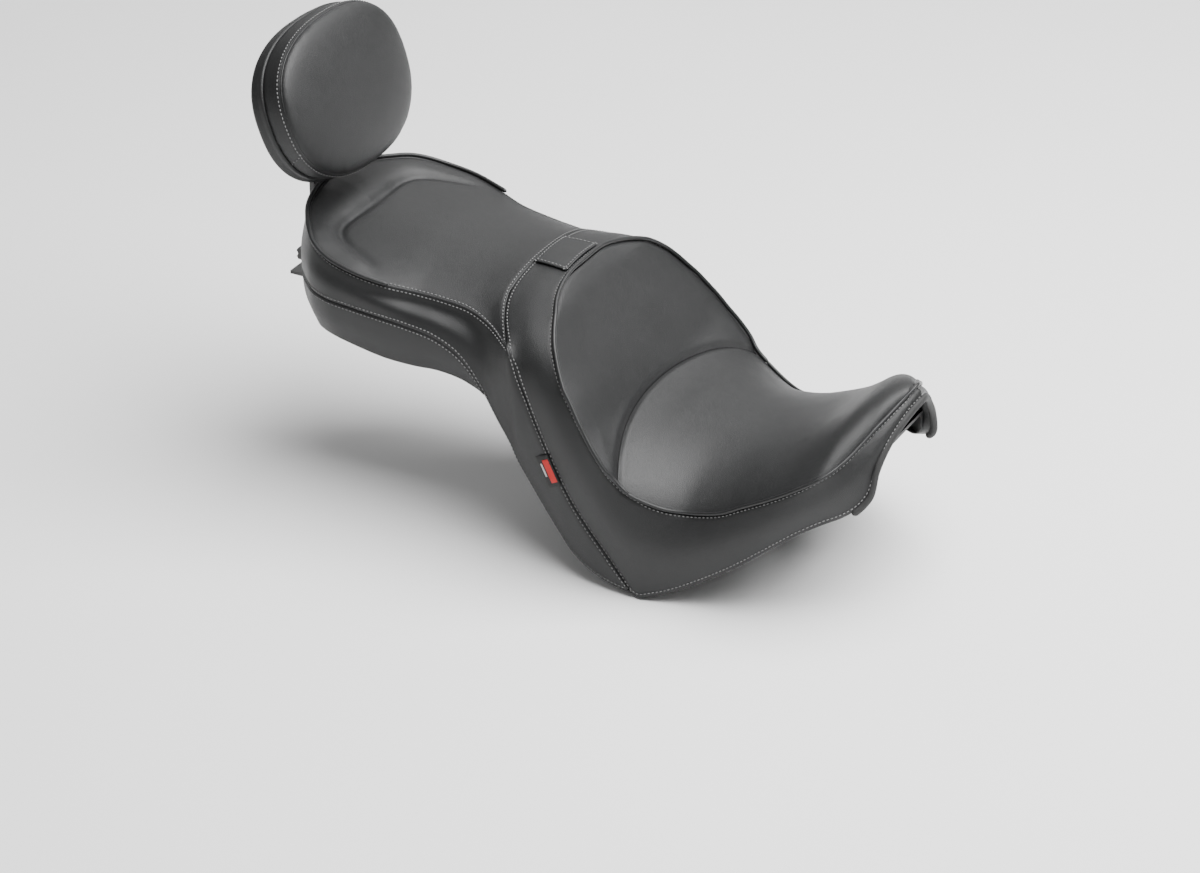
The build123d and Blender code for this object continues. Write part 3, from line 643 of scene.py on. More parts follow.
# Turns the bottom edge in under the pan; it runs out over the last rows where fade is set
def withHem(grid, inward=16.0, fade=0):
    edge = grid[:, -1]
    way = np.gradient(edge, axis=0)
    way[:, 2] = 0
    way /= np.maximum(np.linalg.norm(way, axis=1, keepdims=True), 1e-6)
    side = np.stack([way[:, 1], -way[:, 0], np.zeros(len(way))], axis=1)
    middle = np.stack([np.clip(edge[:, 0], 150, 690), np.zeros(len(edge)), edge[:, 2]], axis=1)
    flip = ((middle - edge) * side).sum(axis=1) < 0
    side[flip] *= -1
    reach = np.minimum(1.0, np.linalg.norm((middle - edge)[:, :2], axis=1) / 40)[:, None]
    if fade:
        place = np.arange(len(edge))
        ends = np.clip(np.minimum(place, len(edge) - 1 - place) / fade, 0.04, 1)
        reach = reach * ends[:, None]
    steps = [(1.2, -1.3), (3.4, -1.9), (6.5, -1.6), (11.0, -0.8), (inward, 0.0)]
    extra = [edge + side * a * reach + np.array([0, 0, b]) * reach for a, b in steps]
    return np.concatenate([grid, np.stack(extra, axis=1)], axis=1)


sideGrid = netSurface(sideStations(), sideLook["along"], sideLook["across"])
sideN = normalsOf(sideGrid, away)
sideGrid = tuck(sideGrid, sideN, sideGrid[:, 0], sideLook["rimTuck"], 3.5)
sideGrid = tuck(sideGrid, sideN, sideGrid[:, -1], sideLook["lowTuck"], 3.0)
boxingWithHem = withHem(sideGrid)
passengerSides = panel("passengerSides", boxingWithHem, normalsOf(boxingWithHem, away), sideLook["thick"])


def lowerStations():
    rows = []
    for top, low in zip(np.array(seatLines["lower"], float), np.array(seatLines["bottom"], float)):
        middle = top * 0.5 + low * 0.5
        middle[:2] = top[:2] * 0.78 + low[:2] * 0.22
        rows.append([top, middle, low])
    rows.append([(317.5, 148.3, -19), (317.5, 148.1, -19.5), (317.5, 147.8, -20)])
    return mirrorRows(rows)


skirtGrid = netSurface(lowerStations(), 420, 18)
skirtN = normalsOf(skirtGrid, away)
skirtGrid = tuck(skirtGrid, skirtN, skirtGrid[:, 0], sideLook["lowTuck"], 3.0)
skirtHem = withHem(skirtGrid, fade=75)
lowerSkirt = panel("passengerLowerSkirt", skirtHem, normalsOf(skirtHem, away), sideLook["thick"])
print("passenger sides ready")


# Band and rider skirt are one panel, from the top round both sides to the nose. Along the rider's
# welt, each row has the point at the welt, one in the middle and one at the outer edge.
bandRows = [
    ((370, 0, 97.5), (345, 0, 99), (320, 0, 98.4)),
    ((370, 40, 96), (345, 43, 97), (320, 46, 96.2)),
    ((374, 67, 91), (346, 72, 91), (320, 78, 89)),
    ((380, 87, 86), (350, 95, 84), (323, 102, 79.5)),
    ((389, 107, 79), (358, 117, 76), (330, 120, 68)),
    ((396, 123, 69), (370, 137, 66), (344, 143, 56)),
    ((403, 136, 58), (383, 152, 56), (358, 159, 50)),
    ((411, 146, 46), (393, 159.5, 38), (370, 164, 25)),
    ((421, 156, 31), (405, 166, 15), (384, 166, -5)),
    ((430, 163, 19), (415, 171, -3), (396, 169, -28)),
    ((440, 167, 7), (427, 175, -22), (410, 172, -53)),
    ((451, 172, -7), (440, 179, -43), (426, 175, -80)),
    ((463, 176, -23), (457, 183, -68), (448, 178, -113)),
    ((477, 180, -40), (475, 187, -89), (470, 181, -138)),
    ((490, 181, -56), (490, 189, -107), (489, 183, -158)),
    ((501, 177, -69), (505, 189, -125), (509, 184, -181)),
    ((517, 175, -82), (524, 188, -141), (529, 185, -203)),
    ((550, 164, -96), (550, 180.5, -146), (551, 182, -199)),
    ((573, 156, -99), (573, 173, -143), (574, 176, -190)),
    ((595, 154, -96), (595, 168, -135), (596, 171, -178)),
    ((620, 153, -89), (620, 164, -125), (620, 166, -163)),
    ((643, 150, -77), (643, 161, -111), (643, 162, -147)),
    ((676, 146, -60), (676, 154, -91), (676, 152, -122)),
    ((706, 138, -43), (706, 144, -72), (706, 140, -100)),
    ((726, 127, -31), (728, 131, -60), (729, 126, -88)),
    ((738, 109, -22), (743, 116, -53), (746, 111, -82)),
    ((746, 92, -13), (753, 101, -45), (758, 99, -74)),
    ((752, 77, -4), (761, 89, -31), (767, 88, -60)),
    ((758, 62, 6), (766, 75, -12), (769, 77, -33)),
    ((765, 43, 16), (771, 53, 5), (773, 55, -8)),
    ((773, 21, 28), (780, 26, 21), (781, 27, 13)),
    ((780, 0, 38), (786, 0, 32), (787, 0, 24)),
]
bandLook = {"thick": 2.4, "along": 700, "across": 34, "evenings": 160, "weltTuck": 1.6, "seamTuck": 1.3}


def bandStations():
    rows = []
    for a, m, o in np.array(bandRows, float):
        rows.append([a, m, o])
    seam = bandSeam(200)
    for row in rows[:7]:
        out = row[2]
        k = int(np.argmin(np.abs(seam[:, 1] - out[1])))
        row[2] = seam[k].copy()
        row[2][1] = out[1]
        if row[1][1] < 130:
            row[1][2] = passengerTopZ(row[1][0:1], row[1][1:2])[0] + 0.5
    full = mirrorRows(rows)
    ghostA, ghostB = full[1].copy(), full[-2].copy()
    ghostA[:, 1] *= -1
    ghostB[:, 1] *= -1
    return np.concatenate([[ghostA], full, [ghostB]])


bandGrid = netSurface(bandStations(), bandLook["along"], bandLook["across"], overlap=1)
share = np.sin(np.linspace(0, math.pi, bandLook["across"])) ** 0.7
for _ in range(bandLook["evenings"]):
    mean = (bandGrid[:-2] + bandGrid[2:]) / 2
    bandGrid[1:-1] += (mean - bandGrid[1:-1]) * (0.8 * share)[None, :, None]
bandN = normalsOf(bandGrid, bandOut)
welt = bandGrid[:, 0].copy()
bandGrid = tuck(bandGrid, bandN, welt, bandLook["weltTuck"], 3.6)
bandSeamLine = np.array([row for row in bandGrid[:, -1] if row[0] < 529])
bandGrid = tuck(bandGrid, bandN, bandSeamLine, bandLook["seamTuck"], 3.2)
outer = bandGrid[:, -1]
bandHem = withHem(bandGrid)
# the hem runs only where the outer edge is the bottom edge
low = np.clip((outer[:, 0] - 512) / 20, 0, 1)[:, None, None]
flatEdge = np.repeat(bandGrid[:, -1:], 5, axis=1) - bandN[:, -1:] * np.linspace(0.3, 1.6, 5)[None, :, None]
bandHem[:, -5:] = bandHem[:, -5:] * low + flatEdge * (1 - low)
socketLow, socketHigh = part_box("backrest_socket")
mouth = {
    "x": (socketLow.x + socketHigh.x) / 2 / mm,
    "halfX": 7.4, "halfY": 18.4,           # just over the socket tube's walls
    "above": 80.0,
}


# Opens the band over the socket's tube
def cutMouth(obj):
    m = mouth
    bm = bmesh.new()
    bm.from_mesh(obj.data)
    cutAlong(bm, [(((m["x"] + k * m["halfX"]) * mm, 0, 0), (1, 0, 0)) for k in (-1, 1)]
             + [((0, k * m["halfY"] * mm, 0), (0, 1, 0)) for k in (-1, 1)])
    inside = []
    for face in bm.faces:
        x, y, z = face.calc_center_median() / mm
        if abs(x - m["x"]) < m["halfX"] and abs(y) < m["halfY"] and z > m["above"]:
            inside.append(face)
    bmesh.ops.delete(bm, geom=inside, context="FACES")
    bmesh.ops.bridge_loops(bm, edges=[e for e in bm.edges if e.is_boundary])
    bmesh.ops.recalc_face_normals(bm, faces=bm.faces)
    for face in bm.faces:
        face.smooth = True
    bm.to_mesh(obj.data)
    bm.free()


riderBand = panel("riderBandAndSkirt", bandHem, normalsOf(bandHem, bandOut), bandLook["thick"])
cutMouth(riderBand)
print("band ready")


riderLook = {
    "thick": 2.4,
    "crown": [(370, 96.5), (380, 84), (396, 62), (411, 42), (425, 24), (440, 3), (462, -30), (479, -41),
              (517, -50), (545, -53), (573, -54), (608, -52), (643, -43), (676, -28), (706, -5),
              (730, 16), (746, 27), (758, 33), (770, 36.5), (780, 38)],
    "puff": 3.0, "weltTuck": 1.8,
    "tuckEdgeX": 503.0, "tuckMidX": 462.0, "tuckDepth": 4.2, "tuckWidth": 4.5,
    "bow": 2.2,                            # how sharply the tuck bends forward at the sides
}
half = len(welt) // 2
weltSide = welt[half:].copy()          # from the top's middle down one side to the nose
weltSide[:, 1] = np.abs(weltSide[:, 1])


def riderTopZ(x, y, edgeY, edgeZ):
    line = np.array(riderLook["crown"], float)
    fine = np.linspace(line[0, 0], line[-1, 0], 400)
    crown = np.interp(x, fine, smoothThrough(line[:, 1], line[:, 0], fine))
    f = np.clip(np.abs(y) / np.maximum(edgeY, 1e-3), 0, 1)
    return edgeZ + (crown - edgeZ) * (1 - f ** 2.4)


def weltAt(x):
    line = weltSide[weltSide[:, 1] > 39.0] if x < 380 else weltSide
    return np.interp(x, line[:, 0], line[:, 1]), np.interp(x, line[:, 0], line[:, 2])


# Rows of a rider panel; the first and last bow as the tuck between the panels does
def riderGrid(edgeStart, edgeEnd, centreStart, centreEnd, rows, columns, bend):
    f = np.linspace(-1, 1, columns)
    grid = np.zeros((rows, columns, 3))
    for i, t in enumerate(np.linspace(0, 1, rows)):
        ex = edgeStart + (edgeEnd - edgeStart) * t
        cx = centreStart + (centreEnd - centreStart) * t
        ey, ez = weltAt(ex)
        x = cx + (ex - cx) * np.abs(f) ** bend
        y = ey * f
        for j in range(columns):
            ly, lz = weltAt(x[j])
            ly = max(ly, abs(y[j]))
            grid[i, j] = (x[j], y[j], riderTopZ(x[j], y[j], ly, lz))
        grid[i, 0] = (ex, -ey, ez)
        grid[i, -1] = (ex, ey, ez)
    return grid


def dressRider(grid, lines):
    edge = mirrorRows(weltSide)
    near = nearTo(grid, edge, 20.0)
    for line in lines:
        near = np.maximum(near, nearTo(grid, line, 20.0))
    grid[..., 2] += riderLook["puff"] * (1 - near)
    grid[..., 2] -= riderLook["weltTuck"] * nearTo(grid, edge, 4.2)
    return grid


tuckEdgeX, tuckMidX, bow = riderLook["tuckEdgeX"], riderLook["tuckMidX"], riderLook["bow"]
backGrid = riderGrid(370.5, tuckEdgeX, 370.5, tuckMidX, 120, 121, bow)
tuckLine = backGrid[-1].copy()
seatGrid = riderGrid(tuckEdgeX, 779.0, tuckMidX, 779.0, 190, 121, bow)
backGrid = softened(dressRider(backGrid, [tuckLine]), 6)
seatGrid = softened(dressRider(seatGrid, [tuckLine]), 6)
for grid in (backGrid, seatGrid):
    grid[..., 2] -= riderLook["tuckDepth"] * nearTo(grid, tuckLine, riderLook["tuckWidth"])
riderBack = panel("riderBack", backGrid, normalsOf(backGrid, upForward), riderLook["thick"])
riderSeat = panel("riderSeat", seatGrid, topNormals(seatGrid[::-1])[::-1], riderLook["thick"])
print("rider panels ready")


def lifted(line, out, up):
    flat = line.copy()
    flat[:, 0] -= np.clip(line[:, 0], 175, 700)
    flat[:, 2] = 0
    flat /= np.maximum(np.linalg.norm(flat, axis=1, keepdims=True), 1e-6)
    return line + flat * out + np.array([0, 0, up])


weltLook = {"rim": 2.5, "arch": 2.6, "lower": 2.1, "rimEnd": 192, "archEnd": 519, "lowerStart": 512}
rimSide = lineThrough(rim, 300)
rimRun = mirrorRows(rimSide[rimSide[:, 0] < weltLook["rimEnd"]])
rimWelt = cordPiece("rimWelt", lifted(rimRun, 0.7, 0.9), weltLook["rim"])
archSide = evenly(weltSide[weltSide[:, 0] < weltLook["archEnd"]], 150)
archWelt = cordPiece("riderArchWelt", lifted(mirrorRows(archSide), 0.6, 1.0), weltLook["arch"])
noseSide = evenly(weltSide[weltSide[:, 0] > weltLook["lowerStart"]], 150)
noseWelt = cordPiece("riderLowerWelt", lifted(mirrorRows(noseSide[::-1]), 0.9, 0.4), weltLook["lower"])
print("welts ready")


flapLook = {"rear": 321.5, "front": 365.5, "rearHalf": 35.0, "frontHalf": 38.0, "thick": 2.2,
            "height": 99.6, "lift": 2.6}


def flapGrid():
    s = flapLook
    rows, columns = 30, 45
    grid = np.zeros((rows, columns, 3))
    for i, t in enumerate(np.linspace(0, 1, rows)):
        halfWidth = s["rearHalf"] + (s["frontHalf"] - s["rearHalf"]) * t
        corner = max(0.0, t - 0.9) * 10
        for j, f in enumerate(np.linspace(-1, 1, columns)):
            x = s["rear"] + (s["front"] - s["rear"]) * t - 2.2 * corner * max(0.0, abs(f) - 0.88) * 8
            y = halfWidth * f
            z = s["height"] - 2.6 * f * f - 0.8 * t + s["lift"]
            z += 0.9 * math.sin(math.pi * t) + 0.5 * t * math.cos(2.1 * f)
            z -= 2.0 * max(0.0, 0.10 - t) * 10
            grid[i, j] = (x, y, z)
    return grid


flapSurface = flapGrid()
flapN = normalsOf(flapSurface, upward)
flap = panel("backrestFlap", flapSurface, flapN, flapLook["thick"])


tagLook = {
    "corners": [(398, -66), (414, -59), (433, -91), (417, -99)],
    "whole": (0, 1, 0, 1),                 # shares of the length and of the width
    "bar": (0.14, 0.88, 0.44, 0.88), "line": (0.24, 0.66, 0.18, 0.30),
    "out": 2.4, "thick": 0.9, "printRise": 0.35,
}


# Half width of the finished side at a place
def sideY(x, z):
    flat = np.concatenate([sideGrid.reshape(-1, 3), bandGrid.reshape(-1, 3)])
    flat = flat[flat[:, 1] > 0]
    d = (flat[:, 0] - x) ** 2 + (flat[:, 2] - z) ** 2
    near = np.argsort(d)[:6]
    return flat[near, 1].max()


def tagPatch(name, part, rise, material, rows=12, columns=8):
    u0, u1, v0, v1 = tagLook[part]
    a, b, c, d = np.array(tagLook["corners"], float)
    grid = np.zeros((rows, columns, 3))
    for i, u in enumerate(np.linspace(u0, u1, rows)):
        for j, v in enumerate(np.linspace(v0, v1, columns)):
            x, z = (a * (1 - v) + b * v) * (1 - u) + (d * (1 - v) + c * v) * u
            grid[i, j] = (x, -sideY(x, z) - tagLook["out"] - rise, z)
    grid[..., 1] = softenY(grid[..., 1])
    n = np.broadcast_to([0.0, -1.0, 0.0], grid.shape)
    return panel(name, grid, n, tagLook["thick"], material)


def softenY(y):
    y = y.copy()
    for _ in range(6):
        y[1:-1, 1:-1] = (y[:-2, 1:-1] + y[2:, 1:-1] + y[1:-1, :-2] + y[1:-1, 2:]) / 4
    return y


tag = tagPatch("sideTag", "whole", 0.0, labelBlack)
tagMark = tagPatch("tagBar", "bar", tagLook["printRise"], labelRed)
tagLine = tagPatch("tagLine", "line", tagLook["printRise"], labelWhite)
print("flap and tag ready")


lipLook = {"from": 752.0, "narrower": 0.98, "reach": 0.4, "drop": 2.2, "wide": 4.0, "tall": 4.6}
edgeLine = bandGrid[:, -1]
lipRun = np.array([p for p in edgeLine[len(edgeLine) // 2:] if p[0] > lipLook["from"]])
lipRun[:, 1] = np.abs(lipRun[:, 1])
lipRun = evenly(lipRun, 110)
lipRun[:, 1] *= lipLook["narrower"]
lipRun += np.array([lipLook["reach"], 0, -lipLook["drop"]])
lipProfile = roundProfile(14, lipLook["wide"], lipLook["tall"])
noseLip = sweptPiece("noseLip", mirrorRows(lipRun[::-1]), lipProfile, blackRubber, (0.3, 0.75, 0.94))


padLook = {
    "middle": (62.0, 0.0, 243.0), "lean": 20.0, "halfWidth": 128.0, "halfHeight": 93.0, "roundness": 2.4,
    "depth": 32.0, "crown": 16.0, "voxel": 0.0045, "pressure": 4.0, "swell": 0.006, "start": 0.8,
    "evenings": 60, "seamDepth": 1.5, "backSeamDepth": 1.2, "seamCord": 0.8,
    "backDepth": 46.0, "thick": 2.4, "slotHalf": 18.5, "slotTop": -4.0, "hemStart": -25.0,
}
lean = math.radians(padLook["lean"])
padOut = np.array([math.cos(lean), 0, math.sin(lean)])
padUp = np.array([-math.sin(lean), 0, math.cos(lean)])


# A place in the pad's own plane: across, up, and ahead of the face seam
def padPoint(u, v, w):
    u, v, w = np.broadcast_arrays(u, v, w)
    return (np.array(padLook["middle"]) + u[..., None] * np.array([0, 1.0, 0])
            + v[..., None] * padUp + w[..., None] * padOut)


def padRing(share, w, trim=0.0, shift=0.0, count=160):
    turn = np.linspace(0, 2 * math.pi, count, endpoint=False)
    c, s = np.cos(turn), np.sin(turn)
    power = 2 / padLook["roundness"]
    u = (padLook["halfWidth"] - trim) * share * np.abs(c) ** power * np.sign(c)
    v = (padLook["halfHeight"] - trim) * share * np.abs(s) ** power * np.sign(s)
    return padPoint(u * (1 + 0.04 * s), v + shift, np.full(count, float(w)))


def ringMesh(name, rings, material, capFirst=True):
    rows, sides = len(rings), len(rings[0])
    faces = tubeFaces(rows, sides) + capFaces(rows, sides)[0 if capFirst else 1:]
    return tidyMesh(meshFrom(name, np.concatenate(rings), faces, material))


# The stuffed form before it swells
def padBlank():
    s = padLook
    trim = s["start"]
    rings = [padRing(k, -s["depth"] + 1, trim) for k in (0.05, 0.35, 0.65, 0.85, 0.96)]
    rings += [padRing(1.0, w, trim) for w in (-s["depth"] + 4, -24, -18, -12, -6, -1.5)]
    for a in np.linspace(0.06, 1, 22):
        share = math.cos(a * math.pi / 2) ** 0.62
        rings.append(padRing(max(share, 0.012), s["crown"] * math.sin(a * math.pi / 2) ** 0.9 - 1.0, trim))
    return ringMesh("backrestPad", rings, vinyl)


# Shares each point's move with its neighbours, so no small wrinkle is left
def evenMoves(obj, moves, times):
    edges = np.array([e.vertices for e in obj.data.edges])
    count = np.maximum(np.bincount(edges.ravel(), minlength=len(moves)), 1)[:, None]
    for _ in range(times):
        total = np.zeros_like(moves)
        np.add.at(total, edges[:, 0], moves[edges[:, 1]])
        np.add.at(total, edges[:, 1], moves[edges[:, 0]])
        moves = (moves + total / count) / 2
    return moves


# Remeshes a closed form and blows it up a little as cloth, no point further than the cap
def swell(obj, seams):
    remesh = obj.modifiers.new("remesh", "REMESH")
    remesh.mode = "VOXEL"
    remesh.voxel_size = padLook["voxel"]
    useModifiers(obj)
    even = obj.modifiers.new("even", "SMOOTH")
    even.factor, even.iterations = 0.5, 6
    useModifiers(obj)
    start = np.array([v.co for v in obj.data.vertices])
    held = nearTo(start[:, None, :] / mm, seams, 5.0)[:, 0]
    group = obj.vertex_groups.new(name="held")
    for k in np.nonzero(held > 0.3)[0]:
        group.add([int(k)], 1.0, "REPLACE")
    cloth = obj.modifiers.new("cloth", "CLOTH")
    cloth.settings.vertex_group_mass = "held"
    cloth.settings.quality = 5
    cloth.settings.use_pressure = True
    cloth.settings.uniform_pressure_force = padLook["pressure"]
    cloth.settings.tension_stiffness = cloth.settings.compression_stiffness = 25
    cloth.settings.bending_stiffness = 2.0
    cloth.settings.effector_weights.gravity = 0
    cloth.point_cache.frame_start, cloth.point_cache.frame_end = 1, 20
    for number in range(1, 21):
        scene.frame_set(number)
    useModifiers(obj)
    scene.frame_set(1)
    move = np.array([v.co for v in obj.data.vertices]) - start
    size = np.linalg.norm(move, axis=1, keepdims=True)
    share = np.minimum(1.0, padLook["swell"] / np.maximum(size, 1e-9))
    move = evenMoves(obj, move * share, padLook["evenings"])
    obj.data.vertices.foreach_set("co", (start + move).astype(np.float32).ravel())
    even = obj.modifiers.new("even", "SMOOTH")
    even.factor, even.iterations = 0.5, 4
    fine = obj.modifiers.new("fine", "SUBSURF")
    fine.levels = fine.render_levels = 1
    useModifiers(obj)
    return tidyMesh(obj)


# Pulls the surface in along seams
def pinch(obj, lines, depth, width):
    mesh = obj.data
    co = np.array([v.co for v in mesh.vertices]) / mm
    n = np.array([v.normal for v in mesh.vertices])
    for line in lines:
        near = nearTo(co[:, None, :], line, width)[:, 0]
        co -= n * (near * depth)[:, None]
    mesh.vertices.foreach_set("co", (co * mm).astype(np.float32).ravel())
    mesh.update()


faceSeam = padRing(1.0, 0.0, 0.8, count=360)
backSeam = padRing(0.985, -padLook["depth"] + 1, 0.0, count=360)
pad = swell(padBlank(), np.concatenate([faceSeam, backSeam]))
crossSeam = np.array([padPoint(np.array(-126.0 + 6 * t), np.array(-38.0 - 14 * t), np.array(-1.0 - 31 * t))
                      for t in np.linspace(0, 1, 30)])
pinch(pad, [faceSeam], padLook["seamDepth"], 3.2)
pinch(pad, [backSeam], padLook["backSeamDepth"], 3.4)


# Brings a line onto the finished pad
def ontoPad(line, rise=0.2, closed=False):
    co = np.array([v.co for v in pad.data.vertices]) / mm
    n = np.array([v.normal for v in pad.data.vertices])
    moved = []
    for p in line:
        d = ((co - p) ** 2).sum(axis=1)
        k = np.argsort(d)[:5]
        w = 1 / (d[k] + 0.3)
        moved.append(((co[k] + n[k] * rise) * w[:, None]).sum(axis=0) / w.sum())
    moved = np.array(moved)
    for _ in range(6):
        if closed:
            moved = (np.roll(moved, 1, axis=0) + moved * 2 + np.roll(moved, -1, axis=0)) / 4
        else:
            moved[1:-1] = (moved[:-2] + moved[1:-1] * 2 + moved[2:]) / 4
    return moved


# Vinyl-covered bulge over the board and bracket, open below for the post
def padBackPiece():
    s = padLook
    rings = []
    rings.append(padRing(0.97, s["hemStart"], 0, 0, 120))
    rings.append(padRing(1.0, s["hemStart"] - 0.6, 0, 0, 120))
    rings.append(padRing(1.0, s["hemStart"] - 4, 0, 0, 120))
    for t in np.linspace(0, 1, 26):
        share = 0.992 - 0.542 * max(0.0, (t - 0.22) / 0.78) ** 1.5
        rings.append(padRing(share, -s["depth"] - 0.4 - (s["backDepth"] - 6) * t, 0, -8 * t, 120))
    for t in np.linspace(0.12, 1, 8):
        share = 0.45 * (1 - t ** 2.2) + 0.01
        rings.append(padRing(share, -s["depth"] - s["backDepth"] + 5.4 - 5.2 * t, 0, -8, 120))
    obj = ringMesh("padBack", rings, vinyl, capFirst=False)
    bm = bmesh.new()
    bm.from_mesh(obj.data)
    middle = Vector(s["middle"]) * mm
    slotTop = middle + Vector(padUp) * s["slotTop"] * mm
    side = Vector((0, s["slotHalf"] * mm, 0))
    cutAlong(bm, [(side, (0, 1, 0)), (-side, (0, 1, 0)), (slotTop, tuple(padUp))])
    inSlot = []
    for face in bm.faces:
        c = face.calc_center_median()
        if abs(c.y) < s["slotHalf"] * mm and (c - slotTop).dot(Vector(padUp)) < 0:
            inSlot.append(face)
    bmesh.ops.delete(bm, geom=inSlot, context="FACES")
    bm.to_mesh(obj.data)
    bm.free()
    wall = obj.modifiers.new("wall", "SOLIDIFY")
    wall.thickness, wall.offset = s["thick"] * mm, -1.0
    useModifiers(obj)
    return tidyMesh(obj)


padBack = padBackPiece()
seamRun = ontoPad(padRing(1.0, 0.2, 0.6, count=260), -0.1, True)
padSeam = cordPiece("padSeam", seamRun, padLook["seamCord"], closed=True)
print("pad ready")


# Small rounded stitches, or staples, laid end to end along edges
def runTree(name, material, boxy=False):
    tree = bpy.data.node_groups.new(name, "GeometryNodeTree")
    face = tree.interface
    face.new_socket("Geometry", in_out="INPUT", socket_type="NodeSocketGeometry")
    sizes = {}
    for label, value in (("Pitch", 0.0034), ("Length", 0.0026), ("Thickness", 0.0008), ("Height", 0.0007)):
        made = face.new_socket(label, in_out="INPUT", socket_type="NodeSocketFloat")
        made.default_value = value
        sizes[label] = made.identifier
    face.new_socket("Geometry", in_out="OUTPUT", socket_type="NodeSocketGeometry")

    def add(kind, settings=None, inputs=None):
        node = tree.nodes.new(kind)
        for key, value in (settings or {}).items():
            setattr(node, key, value)
        for key, value in (inputs or {}).items():
            if hasattr(value, "is_output"):
                tree.links.new(value, node.inputs[key])
            else:
                node.inputs[key].default_value = value
        return node

    source = add("NodeGroupInput").outputs
    curve = add("GeometryNodeMeshToCurve", inputs={"Mesh": source["Geometry"]})
    points = add("GeometryNodeCurveToPoints", {"mode": "LENGTH"},
                 {"Curve": curve.outputs[0], "Length": source["Pitch"]})
    turned = add("FunctionNodeAlignRotationToVector", {"axis": "X"}, {"Vector": points.outputs["Tangent"]})
    vary = add("FunctionNodeRandomValue", {"data_type": "FLOAT"}, {"Seed": 7})
    vary.inputs[2].default_value, vary.inputs[3].default_value = 0.92, 1.05
    length = add("ShaderNodeMath", {"operation": "MULTIPLY"}, {0: source["Length"], 1: vary.outputs[1]})
    size = add("ShaderNodeCombineXYZ", inputs={
        "X": length.outputs[0], "Y": source["Thickness"], "Z": source["Height"]})
    if boxy:
        shape = add("GeometryNodeMeshCube", inputs={"Size": (1, 1, 1)})
    else:
        shape = add("GeometryNodeMeshUVSphere", inputs={"Segments": 6, "Rings": 4, "Radius": 0.5})
    placed = add("GeometryNodeInstanceOnPoints", inputs={
        "Points": points.outputs["Points"], "Instance": shape.outputs["Mesh"],
        "Rotation": turned.outputs[0], "Scale": size.outputs[0]})
    real = add("GeometryNodeRealizeInstances", inputs={"Geometry": placed.outputs[0]})
    finish = add("GeometryNodeSetMaterial", inputs={"Geometry": real.outputs[0], "Material": material})
    result = add("NodeGroupOutput")
    tree.links.new(finish.outputs[0], result.inputs[0])
    return tree, sizes


# Runs of stitches along several lines, as one plain mesh
def sewn(name, lines, tree, sizes, values, material):
    verts, edges = [], []
    for line in lines:
        start = len(verts)
        verts += [tuple(np.asarray(p) * mm) for p in line]
        edges += [(start + i, start + i + 1) for i in range(len(line) - 1)]
    mesh = bpy.data.meshes.new(name)
    mesh.from_pydata(verts, edges, [])
    obj = bpy.data.objects.new(name, mesh)
    scene.collection.objects.link(obj)
    nodes = obj.modifiers.new("run", "NODES")
    nodes.node_group = tree
    for label, value in values.items():
        nodes[sizes[label]] = value
    useModifiers(obj)
    if not obj.data.materials:
        obj.data.materials.append(material)
    for polygon in obj.data.polygons:
        polygon.use_smooth = True
    return obj


stitchTree, stitchSizes = runTree("stitchRun", thread)
stapleTree, stapleSizes = runTree("stapleRun", zincSteel, boxy=True)


def seamRow(grid, outward, distance, last=False, rise=0.45):
    line = besideEdge(grid, distance, last)
    n = normalsOf(grid, outward)
    edgeN = n[:, -3] if last else n[:, 2]
    return line + edgeN * rise


seatRuns = [
    seamRow(sideGrid, away, 4.6),                                  # under the rim
    seamRow(sideGrid, away, 4.2, True),                            # above the lower side seam
    seamRow(skirtGrid, away, 4.0),                                 # below it
    seamRow(bandGrid, bandOut, 4.6),                               # outside the rider's welt
    seamRow(bandGrid, bandOut, 4.2, True),                         # along the band's seam and bottom edge
]
topFront = seamRow(topGrid, upward, 4.2, False, 0.2)
seatRuns.append(np.array([p for p in seamRow(topGrid, upward, 4.0, True) if p[0] > 190]))
seatRuns.append(np.array([p for p in topFront if p[0] > 190]))
frontRow = topGrid[-1] + (topGrid[-4] - topGrid[-1]) * 0.9
seatRuns.append(frontRow + np.array([0, 0, 0.5]))
stitchLook = {"Pitch": 0.0048, "Length": 0.0034, "Thickness": 0.0015, "Height": 0.0014}
seatStitches = sewn("seatStitches", seatRuns, stitchTree, stitchSizes, stitchLook, thread)

flapRuns = [besideEdge(flapSurface, 3.2) + [0, 0, 0.2], besideEdge(flapSurface, 3.2, True) + [0, 0, 0.2],
            flapSurface[-3] + [0, 0, 0.25], flapSurface[2] + [0, 0, 0.25]]
flapStitches = sewn("flapStitches", flapRuns, stitchTree, stitchSizes, stitchLook, thread)


def looped(line):
    return np.concatenate([line, line[:1]])


padRuns = [ontoPad(looped(padRing(1.0, -4.6, count=300)), 0.3), ontoPad(crossSeam, 0.3)]
padStitches = sewn("padStitches", padRuns, stitchTree, stitchSizes, stitchLook, thread)

stapleLook = {"Pitch": 0.019, "Length": 0.0095, "Thickness": 0.0011, "Height": 0.0008}
stapleRuns = [skirtHem[30:-30, -2] - [0, 0, 0.5]]
# along the hem of the band and of the passenger part, on both sides
for side in (-1, 1):
    for hem, start, end in ((bandHem, 532, 690), (boxingWithHem, 335, 1000)):
        run = np.array([p for p in hem[:, -2] if start < p[0] < end and p[1] * side > 0])
        stapleRuns.append(run - [0, 0, 0.4])
staples = sewn("hemStaples", stapleRuns, stapleTree, stapleSizes, stapleLook, zincSteel)
print("stitches and staples ready")


